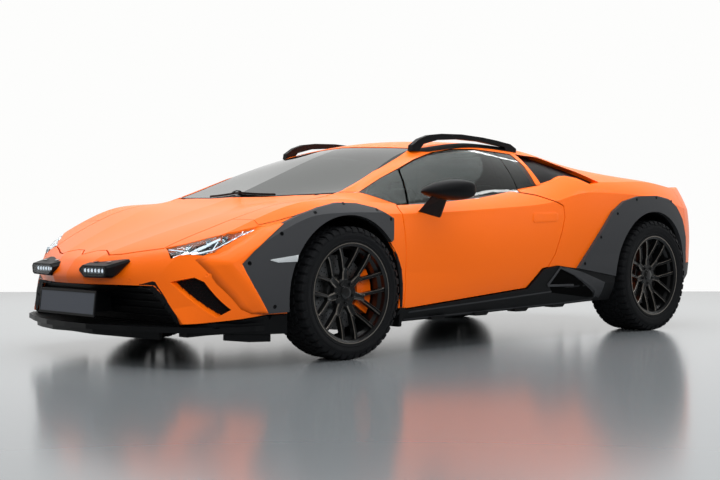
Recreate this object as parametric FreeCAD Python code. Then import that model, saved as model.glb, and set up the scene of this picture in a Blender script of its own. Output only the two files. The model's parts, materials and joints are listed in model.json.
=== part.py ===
# Mid-engined two-seat supercar with raised suspension, black arch flares, sill skirts,
# roof rails and two auxiliary lamps on the nose.
# Millimetres. +X points forward, +Y to the car's left and +Z up.
# The origin is on the ground, midway along and across the car.
import FreeCAD, Part
import math
import os

Vector = FreeCAD.Vector

# Driving sizes of the whole car
wheelbase = 2629.0
front_overhang = 1068.0
rear_overhang = 828.0
overall_width = 1956.0
roof_height = 1200.0
front_track = 1698.0
rear_track = 1654.0

half_length = (front_overhang + wheelbase + rear_overhang) / 2
half_width = overall_width / 2
front_axle_x = half_length - front_overhang
rear_axle_x = front_axle_x - wheelbase

# Panels, seams and clearances
panel_thickness = 30.0
seam = 3.0
shut_gap = 7.0
seat_gap = 0.35
overrun = 60.0
glass_recess = 3.0
glass_thickness = 6.0
glass_slot_play = 0.5

# Wheels
front_tyre_radius = 335.0
rear_tyre_radius = 355.0
front_tyre_width = 235.0
rear_tyre_width = 285.0
front_rim_width = 222.0
rear_rim_width = 272.0
rim_radius = 258.0
spoke_count = 7
tread_groove_depth = 7.0
tread_groove_width = 12.0
front_arch_radius = 392.0
rear_arch_radius = 411.0
arch_depth_front = 440.0
arch_depth_rear = 470.0

# Body surface: seven lines run from the nose to the tail. They are the middle line, the
# crease and roof edge, the wing crest and belt, the shoulder, the flank, the lower edge
# of the painted body and the edge of the floor. Each row below is one station along the
# car, and each point has its place along, across and up as shares of the driving sizes.
body_shares = (
    ((2.979, 0.000, 0.323), (2.971, 0.153, 0.323), (2.853, 0.577, 0.323), (2.838, 0.626, 0.287),
     (2.820, 0.683, 0.233), (2.803, 0.741, 0.177), (2.792, 0.654, 0.158)),
    ((2.990, 0.000, 0.360), (2.982, 0.153, 0.360), (2.827, 0.611, 0.375), (2.768, 0.741, 0.333),
     (2.754, 0.777, 0.250), (2.750, 0.798, 0.179), (2.745, 0.695, 0.154)),
    ((2.956, 0.000, 0.410), (2.941, 0.174, 0.413), (2.764, 0.670, 0.450), (2.665, 0.859, 0.392),
     (2.647, 0.888, 0.275), (2.632, 0.888, 0.188), (2.623, 0.798, 0.150)),
    ((2.838, 0.000, 0.467), (2.810, 0.240, 0.477), (2.614, 0.782, 0.525), (2.529, 0.920, 0.471),
     (2.515, 0.939, 0.308), (2.511, 0.925, 0.204), (2.511, 0.849, 0.146)),
    ((2.455, 0.000, 0.582), (2.417, 0.419, 0.603), (2.342, 0.847, 0.629), (2.295, 0.943, 0.575),
     (2.286, 0.953, 0.350), (2.286, 0.939, 0.208), (2.286, 0.869, 0.143)),
    ((2.239, 0.000, 0.640), (2.136, 0.603, 0.664), (2.127, 0.869, 0.667), (2.108, 0.951, 0.607),
     (2.099, 0.957, 0.375), (2.099, 0.945, 0.204), (2.099, 0.874, 0.142)),
    ((2.043, 0.000, 0.694), (1.955, 0.751, 0.708), (1.956, 0.865, 0.672), (1.956, 0.945, 0.613),
     (1.956, 0.953, 0.375), (1.956, 0.941, 0.200), (1.956, 0.869, 0.142)),
    ((1.858, 0.000, 0.835), (1.820, 0.657, 0.825), (1.833, 0.847, 0.660), (1.833, 0.910, 0.614),
     (1.833, 0.926, 0.358), (1.833, 0.916, 0.200), (1.833, 0.849, 0.144)),
    ((1.698, 0.000, 0.956), (1.675, 0.547, 0.933), (1.671, 0.833, 0.685), (1.671, 0.912, 0.629),
     (1.671, 0.930, 0.350), (1.671, 0.916, 0.221), (1.671, 0.849, 0.152)),
    ((1.527, 0.000, 0.997), (1.515, 0.560, 0.970), (1.515, 0.824, 0.718), (1.515, 0.915, 0.650),
     (1.515, 0.935, 0.350), (1.515, 0.918, 0.243), (1.515, 0.859, 0.162)),
    ((1.374, 0.000, 0.983), (1.363, 0.557, 0.958), (1.374, 0.813, 0.762), (1.374, 0.920, 0.677),
     (1.374, 0.943, 0.375), (1.374, 0.926, 0.250), (1.374, 0.869, 0.170)),
    ((1.279, 0.000, 0.952), (1.272, 0.573, 0.929), (1.279, 0.840, 0.810), (1.279, 0.933, 0.723),
     (1.279, 0.955, 0.400), (1.279, 0.939, 0.260), (1.279, 0.879, 0.178)),
    ((1.184, 0.000, 0.907), (1.173, 0.680, 0.867), (1.184, 0.898, 0.790), (1.184, 0.947, 0.733),
     (1.184, 0.965, 0.417), (1.184, 0.951, 0.268), (1.184, 0.890, 0.185)),
    ((1.000, 0.000, 0.842), (1.000, 0.752, 0.823), (1.000, 0.874, 0.802), (1.000, 0.959, 0.717),
     (1.000, 0.967, 0.433), (1.000, 0.955, 0.277), (1.000, 0.900, 0.196)),
    ((0.498, 0.000, 0.807), (0.498, 0.695, 0.798), (0.498, 0.813, 0.779), (0.474, 0.904, 0.667),
     (0.474, 0.912, 0.417), (0.474, 0.900, 0.283), (0.474, 0.838, 0.212)),
    ((0.057, 0.000, 0.790), (0.069, 0.440, 0.790), (0.118, 0.665, 0.790), (0.136, 0.744, 0.667),
     (0.136, 0.762, 0.433), (0.148, 0.752, 0.292), (0.160, 0.706, 0.233)),
)
# How far each strip between two lines bulges, as a share of its chord, station by station
crease_to_crest_bulge_shares = (0, 0, 0, 0, 0, 0, 0, 0.05, 0.06, 0.06, 0.06, 0.05, 0.03, 0.03, 0.02, 0)
strip_bulge_shares = (None, None, 0.04, 0.03, 0.02, 0.05)
# Direction, across and up, in which each line moves as the surface shrinks inwards
inward_shares = ((0, -1), (-0.3, -0.95), (-0.7, -0.7), (-0.95, -0.3), (-1, 0), (-1, 0.1), (-0.6, 0.8))
# How much of the inset moves a station back from the nose or forward from the tail
end_inset_shares = {0: -1.0, 1: -1.0, 2: -0.7, 14: 0.3, 15: 1.0}
# At these stations the top three lines stay level, so that the end is flat
flat_end_stations = (0, 15)

# Outlines seen from the side, as shares along and up
door_side_shares = (
    (1.843, 0.655), (1.760, 0.662), (1.585, 0.695), (1.467, 0.733), (1.401, 0.713), (1.347, 0.676),
    (1.332, 0.661), (1.332, 0.606), (1.344, 0.536), (1.369, 0.422), (1.393, 0.358), (1.412, 0.351),
    (1.462, 0.259), (1.843, 0.193))
belt_shares = (
    (1.958, 0.709), (1.919, 0.708), (1.823, 0.652), (1.760, 0.663), (1.585, 0.698), (1.444, 0.743),
    (1.369, 0.766), (1.316, 0.794), (1.283, 0.821))
side_opening_shares = (
    (1.919, 0.710), (1.838, 0.776), (1.772, 0.823), (1.702, 0.876), (1.636, 0.916), (1.574, 0.937),
    (1.508, 0.943), (1.436, 0.935), (1.383, 0.927), (1.373, 0.865), (1.375, 0.777), (1.372, 0.742),
    (1.444, 0.717), (1.585, 0.673), (1.760, 0.639), (1.823, 0.628), (1.922, 0.685))
intake_shares = (
    (1.364, 0.929), (1.286, 0.919), (1.259, 0.884), (1.213, 0.843), (1.184, 0.788), (1.218, 0.772),
    (1.252, 0.807), (1.279, 0.818), (1.316, 0.798), (1.359, 0.771))
front_flare_shares = (
    (2.650, 0.411), (2.373, 0.572), (2.283, 0.606), (2.164, 0.637), (2.042, 0.658), (1.970, 0.657),
    (1.921, 0.638), (1.875, 0.593), (1.880, 0.500), (2.000, 0.333), (2.342, 0.215), (2.495, 0.212))
rear_flare_shares = (
    (1.295, 0.348), (1.232, 0.495), (1.168, 0.636), (1.124, 0.690), (1.064, 0.719), (0.947, 0.725),
    (0.770, 0.710), (0.643, 0.667), (0.544, 0.600), (0.479, 0.500), (0.457, 0.367), (0.484, 0.242),
    (0.607, 0.218), (1.000, 0.333), (1.150, 0.297))
skirt_shares = (
    (1.859, 0.198), (1.462, 0.259), (1.412, 0.351), (1.361, 0.363), (1.293, 0.345), (1.145, 0.295),
    (1.142, 0.171), (1.165, 0.133), (1.848, 0.100))
fender_side_shares = (
    (2.466, 0.565), (2.397, 0.579), (2.324, 0.596), (2.246, 0.614), (2.246, 0.198), (1.812, 0.198),
    (1.812, 0.750), (2.473, 0.750))
bumper_side_shares = ((3.020, 0.165), (2.803, 0.174), (2.470, 0.208), (2.200, 0.208), (2.200, 0.620),
                      (3.020, 0.620))
# The bar ahead of the door glass and the pillar line behind it, low end and high end
bar_line_shares = ((1.812, 0.600), (1.762, 0.850))
pillar_line_shares = ((1.443, 0.600), (1.437, 0.970))
bar_width = 14.0

# Outlines seen from above, as shares along and across
windscreen_shares = (
    (2.019, 0.000), (1.991, 0.256), (1.974, 0.460), (1.955, 0.738), (1.887, 0.709), (1.814, 0.661),
    (1.732, 0.593), (1.676, 0.540), (1.693, 0.266), (1.698, 0.000))
lid_shares = (
    (2.904, 0.000), (2.853, 0.072), (2.850, 0.143), (2.887, 0.235), (2.862, 0.313), (2.823, 0.402),
    (2.771, 0.532), (2.700, 0.560), (2.567, 0.613), (2.380, 0.670), (2.146, 0.706), (1.969, 0.728),
    (1.983, 0.460), (2.001, 0.256), (2.044, 0.000))
headlamp_shares = (
    (2.768, 0.544), (2.718, 0.637), (2.653, 0.721), (2.618, 0.775), (2.559, 0.819), (2.460, 0.870),
    (2.524, 0.858), (2.611, 0.830), (2.669, 0.804), (2.707, 0.763), (2.792, 0.627))
engine_cover_shares = ((1.2798, 0.481), (1.108, 0.532), (0.848, 0.525), (0.440, 0.480))
louvre_field_shares = ((1.210, 0.400), (1.108, 0.440), (0.860, 0.420), (0.720, 0.340))

# Outlines seen from the front, as shares across and up
bumper_vent_shares = (
    (0.655, 0.339), (0.758, 0.358), (0.801, 0.341), (0.890, 0.232), (0.848, 0.201), (0.823, 0.221))
grille_shares = (
    (0.545, 0.312), (0.590, 0.280), (0.650, 0.228), (0.706, 0.173))
tail_panel_shares = ((0.570, 0.752), (0.665, 0.665), (0.650, 0.535), (0.500, 0.470))
tail_lamp_shares = ((0.480, 0.735), (0.560, 0.735), (0.645, 0.665), (0.632, 0.560), (0.590, 0.560),
                    (0.598, 0.650), (0.480, 0.690))

# Levels
headlamp_low_share = 0.38
body_low_share = 0.10
body_high_share = 1.10
lid_low_share = 0.395
cover_low_share = 0.65
tail_start_share = 0.432
diffuser_top_share = 0.355

# How far the cutting regions reach, as shares of the same scales
skirt_inner_share = 0.80
flare_inner_share = 0.70
side_opening_inner_share = 0.3
intake_inner_share = 0.5
glass_low_share = 0.6
lid_high_share = 0.8
headlamp_high_share = 0.7
vent_rear_share = 2.45
vent_front_share = 2.95
grille_rear_share = 2.6
tail_front_share = 0.3
bumper_rear_share = 2.2
bumper_joint_share = 2.246
floor_zone_inner_share = 0.82
floor_zone_high_share = 0.3
pan_high_share = 0.45
engine_hole_low_share = 0.205
engine_mount_low_share = 0.19
nose_hole_low_share = 0.30
nose_hole_high_share = 0.43
tunnel_low_share = 0.17
lid_arm_room_low_share = 0.5
lid_arm_room_high_share = 0.9
cover_arm_room_low_share = 0.7
cover_arm_room_high_share = 1.0
chin_pan_low_share = 0.15
slot_low_share = 0.7
slot_high_share = 1.0
shoulder_low_share = 0.60
shoulder_high_share = 0.86
rear_window_taper = 0.8
slot_lean_reach = 7
shaft_reach = 1.4

# Door hinges
door_hinge_x = 728.0
door_hinge_y = 872.0
door_nose_radius = 48.0
hinge_pin_radius = 7.0
hinge_arm_radius = 12.0
hinge_arm_thickness = 16.0
hinge_play = 0.3
hinge_slot_play = 5.0
door_hinge_heights = (330.0, 600.0)
door_swing = 65.0
door_depth = 112.0
door_inner_margin = 34.0

# Lid hinges, fore and aft
lid_hinge_x = 1130.0
lid_hinge_z = 829.0
lid_hinge_y = 610.0
cover_hinge_x = -735.0
cover_hinge_z = 1127.0
cover_hinge_y = 150.0
lid_arm_radius = 6.0
lid_pin_radius = 3.5
lid_pin_reach = 25.0
lid_arm_width = 14.0

# Cabin and floor
floor_thickness = 30.0
floor_half_width = 780.0
floor_front_x = 1780.0
floor_rear_x = -1960.0
dash_wall_x = 1015.0
dash_wall_thickness = 30.0
dash_wall_high = 815.0
rear_wall_x = -520.0
rear_wall_thickness = 30.0
hoop_x = -662.0
sill_inner_y = 690.0
rib_thickness = 18.0
front_rib_x = 1668.0
nose_rib_x = 1930.0
rear_rib_x = -1925.0
tail_rib_x = -2095.0
tail_wall_x = -2130.0
post_length = 80.0
post_high = 700.0
tunnel_half_width = 130.0
tunnel_height = 190.0
trunk_half_width = 400.0
trunk_floor_z = 420.0
trunk_wall = 8.0
rail_inner_y = 430.0
rail_thickness = 22.0


def along(share):
    """Place along the car: 0 at the tail, 1 and 2 at the axles and 3 at the nose."""
    if share <= 1:
        return -half_length + share * rear_overhang
    if share <= 2:
        return rear_axle_x + (share - 1) * wheelbase
    return front_axle_x + (share - 2) * front_overhang


def up(share):
    """Height over the ground from its share of the roof height."""
    return share * roof_height


def box(low_x, high_x, low_y, high_y, low_z, high_z):
    """Box between two corners."""
    corner = Vector(low_x, low_y, low_z)
    return Part.makeBox(high_x - low_x, high_y - low_y, high_z - low_z, corner)


def centred_box(low_x, high_x, reach, low_z, high_z):
    """Box that reaches as far to the left as to the right."""
    return box(low_x, high_x, -reach, reach, low_z, high_z)


def outline_face(points, grow):
    """Flat face inside a closed outline, offset outwards by grow."""
    face = Part.Face(Part.makePolygon(points + [points[0]]))
    if grow:
        face = face.makeOffset2D(grow, 2)
    return face


def extrude(points, way, grow=0.0):
    """Prism from an outline."""
    return outline_face(points, grow).extrude(way)


def side_points(shares, y):
    return [Vector(along(a), y, up(b)) for a, b in shares]


def side_prism(shares, low_y, high_y, grow=0.0):
    """Prism across the car from an outline seen from the side."""
    return extrude(side_points(shares, low_y), Vector(0, high_y - low_y, 0), grow)


def plan_prism(shares, low_z, high_z, grow=0.0):
    """Upright prism from an outline seen from above."""
    points = [Vector(along(a), b * half_width, low_z) for a, b in shares]
    return extrude(points, Vector(0, 0, high_z - low_z), grow)


def front_prism(shares, low_x, high_x, grow=0.0):
    """Prism along the car from an outline seen from the front."""
    points = [Vector(low_x, a * half_width, up(b)) for a, b in shares]
    return extrude(points, Vector(high_x - low_x, 0, 0), grow)


def both_sides(shares):
    """Outline of a shape across the middle line from its left half, middle points first."""
    right = [(a, -b) for a, b in reversed(shares) if b > 0]
    return tuple(shares) + tuple(right)


def both_sides_front(shares):
    right = [(-a, b) for a, b in reversed(shares) if a > 0]
    return tuple(shares) + tuple(right)


def cylinder(radius, start, way):
    """Cylinder from a start point along a vector."""
    return Part.makeCylinder(radius, way.Length, start, way)


def mirrored(shape):
    """The same shape on the other side of the car."""
    return shape.mirror(Vector(0, 0, 0), Vector(0, 1, 0))


def join(shapes):
    """One shape from shapes that overlap."""
    whole = shapes[0].fuse(shapes[1:])
    return whole.removeSplitter()


def gather(shapes):
    """Separate solids as one compound."""
    solids = []
    for shape in shapes:
        solids.extend(shape.Solids)
    return Part.makeCompound(solids)


def largest(shape, count=1):
    """The largest solids of a shape."""
    solids = sorted(shape.Solids, key=lambda solid: solid.Volume, reverse=True)
    return gather(solids[:count])


def moved_point(place, station, line, inset):
    """A body point moved inwards, or outwards for a negative inset."""
    across, rise = inward_shares[line]
    if station in flat_end_stations and line < 3:
        rise = -1
    x = along(place[0]) + inset * end_inset_shares.get(station, 0.0)
    y = place[1] * half_width + inset * across
    z = up(place[2]) + inset * rise
    return Vector(x, y, z)


def strip_middle(first, second, bulge):
    """Control point between two lines, out from their chord by a share of it."""
    middle = (first + second) / 2
    if bulge is None:
        return middle
    chord = second - first
    return middle + Vector(0, -chord.z, chord.y) * bulge * 2


def body_grid(inset):
    """Points of all stations, each with its seven lines and six strip middles."""
    grid = []
    for station, row in enumerate(body_shares):
        points = [moved_point(place, station, line, inset) for line, place in enumerate(row)]
        middles = []
        for line, bulge in enumerate(strip_bulge_shares):
            if line == 0:
                middle = (points[0] + points[1]) / 2
                middle.z = points[0].z
            else:
                share = crease_to_crest_bulge_shares[station] if line == 1 else bulge
                middle = strip_middle(points[line], points[line + 1], share)
            middles.append(middle)
        grid.append((points, middles))
    return grid


def body_curve(points, sign):
    """Smooth curve through one point per station."""
    last = len(points) - 1
    places = [Vector(point.x, point.y * sign, point.z) for point in points]
    curve = Part.BSplineCurve()
    curve.interpolate(Points=places, Parameters=[index / last for index in range(last + 1)])
    return curve


def strip_surface(first, middle, second):
    """Surface between two neighbouring lines."""
    poles = [list(three) for three in zip(first.getPoles(), middle.getPoles(), second.getPoles())]
    surface = Part.BSplineSurface()
    surface.buildFromPolesMultsKnots(
        poles, first.getMultiplicities(), [3, 3], first.getKnots(), [0, 1],
        False, False, first.Degree, 2)
    return surface


def side_strips(grid, sign):
    """All strips of one side, with the floor edge curve."""
    lines = [body_curve([row[0][line] for row in grid], sign) for line in range(7)]
    strips = []
    for line in range(6):
        middle = body_curve([row[1][line] for row in grid], sign)
        strips.append(strip_surface(lines[line], middle, lines[line + 1]))
    return strips, lines[6]


def end_caps(left, right, end):
    """Faces that close the body at its nose or tail."""
    caps = []
    for line in range(2, 6):
        near = left[line].uIso(end).toShape()
        far = right[line].uIso(end).toShape()
        caps.append(Part.makeRuledSurface(near, far))
    rim = [strips[line].uIso(end).toShape() for strips in (left, right) for line in (0, 1)]
    rim.append(Part.makeLine(left[1].value(end, 1), right[1].value(end, 1)))
    caps.append(Part.Face(Part.Wire(Part.sortEdges(rim)[0])))
    return caps


def body_volume(inset):
    """Closed solid inside the body surface, moved inwards by the inset."""
    grid = body_grid(inset)
    left, left_floor = side_strips(grid, 1)
    right, right_floor = side_strips(grid, -1)
    faces = [surface.toShape() for surface in left + right]
    faces += end_caps(left, right, 0.0) + end_caps(left, right, 1.0)
    faces.append(Part.makeRuledSurface(left_floor.toShape(), right_floor.toShape()))
    shell = Part.makeShell(faces)
    shell.sewShape()
    solid = Part.makeSolid(shell)
    if solid.Volume < 0:
        solid.reverse()
    return solid


volumes = {}


def body(inset=0.0):
    """Body solid at an inset, built once for each inset."""
    if inset not in volumes:
        volumes[inset] = body_volume(inset)
    return volumes[inset]


def reaches_out_of(solid, core):
    """True for a solid with a corner outside a core."""
    return any(not core.isInside(corner.Point, seam, True) for corner in solid.Vertexes)


def layer(region, outer=0.0, inner=panel_thickness):
    """Part of a region between two insets of the body surface."""
    core = body(inner)
    skin = region.common(body(outer)).cut(core)
    return gather([solid for solid in skin.Solids if reaches_out_of(solid, core)])


def arch(axle_x, axle_z, radius, depth, outer=None):
    """Cylinder of the left wheel opening, from its inner depth outwards."""
    reach = (outer or half_width + overrun) - depth
    return cylinder(radius, Vector(axle_x, depth, axle_z), Vector(0, reach, 0))


def both(shape):
    """A left shape with its mirror image."""
    return gather([shape, mirrored(shape)])


front_arch = arch(front_axle_x, front_tyre_radius, front_arch_radius, arch_depth_front)
rear_arch = arch(rear_axle_x, rear_tyre_radius, rear_arch_radius, arch_depth_rear)
low = up(body_low_share)
high = up(body_high_share)
side_low_y = half_width * 0.45
side_high_y = half_width + overrun


def door_nose(radius):
    """Upright cylinder about the left door's hinge line."""
    return cylinder(radius, Vector(door_hinge_x, door_hinge_y, low), Vector(0, 0, high - low))


def door_outline(grow, low_y=side_low_y):
    """Door outline through the left side, with its rounded front edge."""
    whole = side_prism(door_side_shares, low_y, side_high_y, grow)
    behind = box(-half_length, door_hinge_x, low_y, side_high_y, low, high)
    nose = door_nose(door_nose_radius + max(grow, 0.0) * 2)
    return whole.common(join([behind, nose]))


door_cut = door_outline(shut_gap / 2)


def skirt_region(grow=0.0):
    return side_prism(skirt_shares, half_width * skirt_inner_share, side_high_y, grow)


def flare_region(shares, grow=0.0):
    return side_prism(shares, half_width * flare_inner_share, side_high_y, grow)


def roof_side(grow=0.0):
    """Everything over the belt line, from the scuttle to the rear end of the roof."""
    top = ((belt_shares[-1][0], body_high_share), (belt_shares[0][0], body_high_share))
    return side_prism(belt_shares + top, -side_high_y, side_high_y, grow)


def side_opening(grow=0.0):
    return side_prism(side_opening_shares, half_width * side_opening_inner_share, side_high_y, grow)


def intake_region(grow=0.0):
    return side_prism(intake_shares, half_width * intake_inner_share, side_high_y, grow)


def windscreen_region(grow=0.0):
    return plan_prism(both_sides(windscreen_shares), up(glass_low_share), high, grow)


def lid_region(grow=0.0):
    return plan_prism(both_sides(lid_shares), up(lid_low_share), up(lid_high_share), grow)


def cover_region(grow=0.0):
    return plan_prism(both_sides(engine_cover_shares), up(cover_low_share), high, grow)


def headlamp_region(grow=0.0):
    return plan_prism(headlamp_shares, up(headlamp_low_share), up(headlamp_high_share), grow)


def vent_region(grow=0.0):
    return front_prism(bumper_vent_shares, along(vent_rear_share), along(vent_front_share), grow)


def grille_region(grow=0.0):
    return front_prism(both_sides_front(grille_shares), along(grille_rear_share), half_length, grow)


def tail_panel_region(grow=0.0):
    return front_prism(both_sides_front(tail_panel_shares), -half_length, along(tail_front_share), grow)


# Painted panels
def make_fender():
    """Left front wing, from the lamp back to the door."""
    region = side_prism(fender_side_shares, side_low_y, side_high_y)
    panel = layer(region)
    cuts = [roof_side(seam), lid_region(shut_gap), windscreen_region(seam), door_cut,
            headlamp_region(seam / 2),
            flare_region(front_flare_shares, seat_gap), skirt_region(seam), front_arch, scuttle_region(seam)]
    for cut in cuts:
        panel = panel.cut(cut)
    return largest(panel)


def scuttle_region(grow=0.0):
    """Strip between the lid and the foot of the windscreen."""
    shares = ((2.060, 0.0), (2.020, 0.256), (2.000, 0.460), (1.985, 0.735), (1.940, 0.735), (1.935, 0.0))
    return plan_prism(both_sides(shares), up(glass_low_share), up(lid_high_share), grow)


def make_front_bumper():
    """Painted nose, with openings for the grille, the side vents and the lamps."""
    region = side_prism(bumper_side_shares, -side_high_y, side_high_y)
    panel = layer(region)
    fender_zone = side_prism(fender_side_shares, 0.0, side_high_y, seam)
    rear_zone = box(along(bumper_rear_share), along(bumper_joint_share), 0.0, side_high_y, low, high)
    cuts = [lid_region(shut_gap), grille_region()]
    for left in (headlamp_region(seam / 2), vent_region(), fender_zone, rear_zone,
                 flare_region(front_flare_shares, seat_gap), front_arch):
        cuts += [left, mirrored(left)]
    for cut in cuts:
        panel = panel.cut(cut)
    return largest(panel)


def make_lid():
    """Front luggage lid, with slots for its two hinge arms."""
    panel = layer(lid_region(), 0.0, panel_thickness)
    reach = lid_arm_radius + hinge_slot_play
    for side in (1, -1):
        middle = side * lid_hinge_y
        slot = box(lid_hinge_x - overrun, lid_hinge_x + reach, middle - lid_arm_width,
                   middle + lid_arm_width,
                   low, high)
        panel = panel.cut(slot)
        start = Vector(lid_hinge_x, middle - lid_arm_width * 2, lid_hinge_z)
        panel = panel.cut(cylinder(lid_pin_radius + hinge_play, start, Vector(0, lid_arm_width * 4, 0)))
    return largest(panel)


def make_roof_frame():
    """Roof skin with both windscreen pillars and rear pillars."""
    panel = layer(roof_side())
    for cut in (windscreen_region(), scuttle_region(seam), cover_region(shut_gap)):
        panel = panel.cut(cut)
    for left in (side_opening(), intake_region()):
        panel = panel.cut(left).cut(mirrored(left))
    return largest(panel)


def make_quarter():
    """Left rear wing, with the shoulder over the engine intake."""
    belt_rear = tuple(place for place in belt_shares if place[0] < 1.5)
    shares = belt_rear + ((belt_shares[-1][0], body_high_share), (tail_start_share, body_high_share),
                          (tail_start_share, 0.18), (1.47, 0.18), (1.47, 0.735))
    region = side_prism(shares, side_low_y, side_high_y)
    floor_zone = box(-half_length, half_length, 0.0, half_width * floor_zone_inner_share, low,
                     up(floor_zone_high_share))
    panel = layer(region)
    cuts = [roof_side(seam), cover_region(shut_gap), door_cut, skirt_region(seam), intake_region(),
            flare_region(rear_flare_shares, seat_gap), rear_arch, floor_zone, door_glass_region(seam)]
    for cut in cuts:
        panel = panel.cut(cut)
    return largest(panel)


def make_tail():
    """Painted rear end around the dark tail panel."""
    region = centred_box(-half_length, along(tail_start_share) - seam, side_high_y,
                         up(diffuser_top_share), high)
    room = centred_box(tail_wall_x, 0.0, side_high_y, low, high).common(body(panel_thickness))
    panel = region.common(body()).cut(room).cut(tail_panel_region())
    for hole in pipe_holes(seam):
        panel = panel.cut(hole)
    for left in (flare_region(rear_flare_shares, seat_gap), rear_arch):
        panel = panel.cut(left).cut(mirrored(left))
    return largest(panel.cut(cover_region(shut_gap)))


def make_flare(shares, opening, standoff):
    """Black flare round a left wheel opening."""
    region = flare_region(shares).cut(opening)
    return layer(region, -standoff, panel_thickness)


flare_standoff = 20.0
skirt_standoff = 14.0


def make_arch_flares():
    """The four flares, the widest pieces of the body."""
    limit = centred_box(-half_length, half_length, half_width, low, high)
    front = make_flare(front_flare_shares, front_arch, flare_standoff)
    rear = make_flare(rear_flare_shares, rear_arch, flare_standoff)
    skirt_zone = skirt_region(seam)
    front = front.cut(lid_region(shut_gap)).cut(headlamp_region(seam / 2))
    front = largest(front.cut(door_cut).cut(skirt_zone).common(limit))
    rear = largest(rear.cut(door_cut).cut(skirt_zone).common(limit))
    return gather([front, mirrored(front), rear, mirrored(rear)])


def make_skirt():
    """Left sill skirt, with the pointed brake scoop ahead of the rear wheel."""
    panel = layer(skirt_region(), -skirt_standoff, panel_thickness)
    for cut in (door_cut, rear_arch, front_arch):
        panel = panel.cut(cut)
    return largest(panel)


# Glass
def glass_layer(region):
    return layer(region, glass_recess, glass_recess + glass_thickness)


def line_band(shares, before, after):
    """Slice through the car on one side of a leaning line seen from the side."""
    low_end, high_end = [Vector(along(a), 0, up(b)) for a, b in shares]
    points = [low_end + Vector(before, 0, 0), high_end + Vector(before, 0, 0),
              high_end + Vector(after, 0, 0), low_end + Vector(after, 0, 0)]
    return extrude(points, Vector(0, side_high_y, 0))


def door_glass_region(grow=0.0):
    """Left door glass, between the bar and the pillar line, down into the door."""
    region = side_opening(-shut_gap)
    ahead = line_band(bar_line_shares, -bar_width / 2 + grow, half_length)
    behind = line_band(pillar_line_shares, -half_length, shut_gap / 2 - grow)
    return region.cut(ahead).cut(behind)


def make_door_glass():
    return largest(glass_layer(door_glass_region()))


def make_windscreen():
    return largest(glass_layer(windscreen_region(-seat_gap)))


rear_window_half_width = 470.0
rear_window_low = 902.0
rear_window_high = 1112.0


def make_fixed_glass():
    """Front and rear quarter windows and the window behind the seats."""
    region = side_opening(-seat_gap).common(roof_side(-seat_gap)).cut(door_cut)
    front = region.common(line_band(bar_line_shares, bar_width / 2, half_length))
    rear = region.common(line_band(pillar_line_shares, -half_length, -shut_gap / 2))
    front = largest(glass_layer(front))
    rear = largest(glass_layer(rear))
    middle = rear_wall_x + rear_wall_thickness / 2
    window = rear_window_prism(middle, glass_thickness)
    return gather([front, mirrored(front), rear, mirrored(rear), window])


# Doors
def make_door():
    """Left door, as thick as its whole shell, open to its hinge arms."""
    outline = door_outline(-shut_gap / 2)
    skin = layer(outline, 0.0, panel_thickness)
    inner = layer(door_outline(-door_inner_margin), panel_thickness - 1.0, door_depth)
    door = largest(join([skin, inner]))
    slot = layer(door_glass_region(glass_slot_play), glass_recess - glass_slot_play,
                 glass_recess + glass_thickness + glass_slot_play)
    door = door.cut(slot)
    for height in door_hinge_heights:
        door = door.cut(hinge_slot(height))
        start = Vector(door_hinge_x, door_hinge_y, height - hinge_arm_thickness * 2)
        door = door.cut(cylinder(hinge_pin_radius + hinge_play, start,
                                 Vector(0, 0, hinge_arm_thickness * 4)))
    return largest(door)


def hinge_slot(height):
    """Room in the door for one hinge arm, over the whole swing."""
    reach = hinge_arm_radius + hinge_slot_play / 2
    half = hinge_arm_thickness / 2 + hinge_slot_play
    room = box(door_hinge_x - reach, door_hinge_x + door_nose_radius + reach, side_low_y, door_hinge_y,
               height - half, height + half)
    swing = cylinder(reach, Vector(door_hinge_x, door_hinge_y, height - half), Vector(0, 0, half * 2))
    wide_open = box(door_hinge_x - reach, door_hinge_x + reach, side_low_y, door_hinge_y,
                    height - half, height + half)
    wide_open.rotate(Vector(door_hinge_x, door_hinge_y, 0), Vector(0, 0, 1), door_swing)
    return join([room, swing, wide_open])


def hinge_arm(height):
    """Arm from the hinge post out to the hinge line, with its pin."""
    half = hinge_arm_thickness / 2
    arm = box(door_hinge_x - hinge_arm_radius, door_hinge_x + hinge_arm_radius, sill_inner_y, door_hinge_y,
              height - half, height + half)
    eye = cylinder(hinge_arm_radius, Vector(door_hinge_x, door_hinge_y, height - half),
                   Vector(0, 0, hinge_arm_thickness))
    pin_start = Vector(door_hinge_x, door_hinge_y, height - hinge_arm_thickness * 2 + hinge_play)
    pin = cylinder(hinge_pin_radius, pin_start, Vector(0, 0, hinge_arm_thickness * 4 - hinge_play * 2))
    return join([arm, eye, pin])


def save(name, shape):
    """Write one piece to its own file."""
    shape.exportStep("parts/" + name + ".step")


def save_pair(name, left):
    """Write a left piece and its mirror image."""
    save(name + "_left", left)
    save(name + "_right", mirrored(left))


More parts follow.
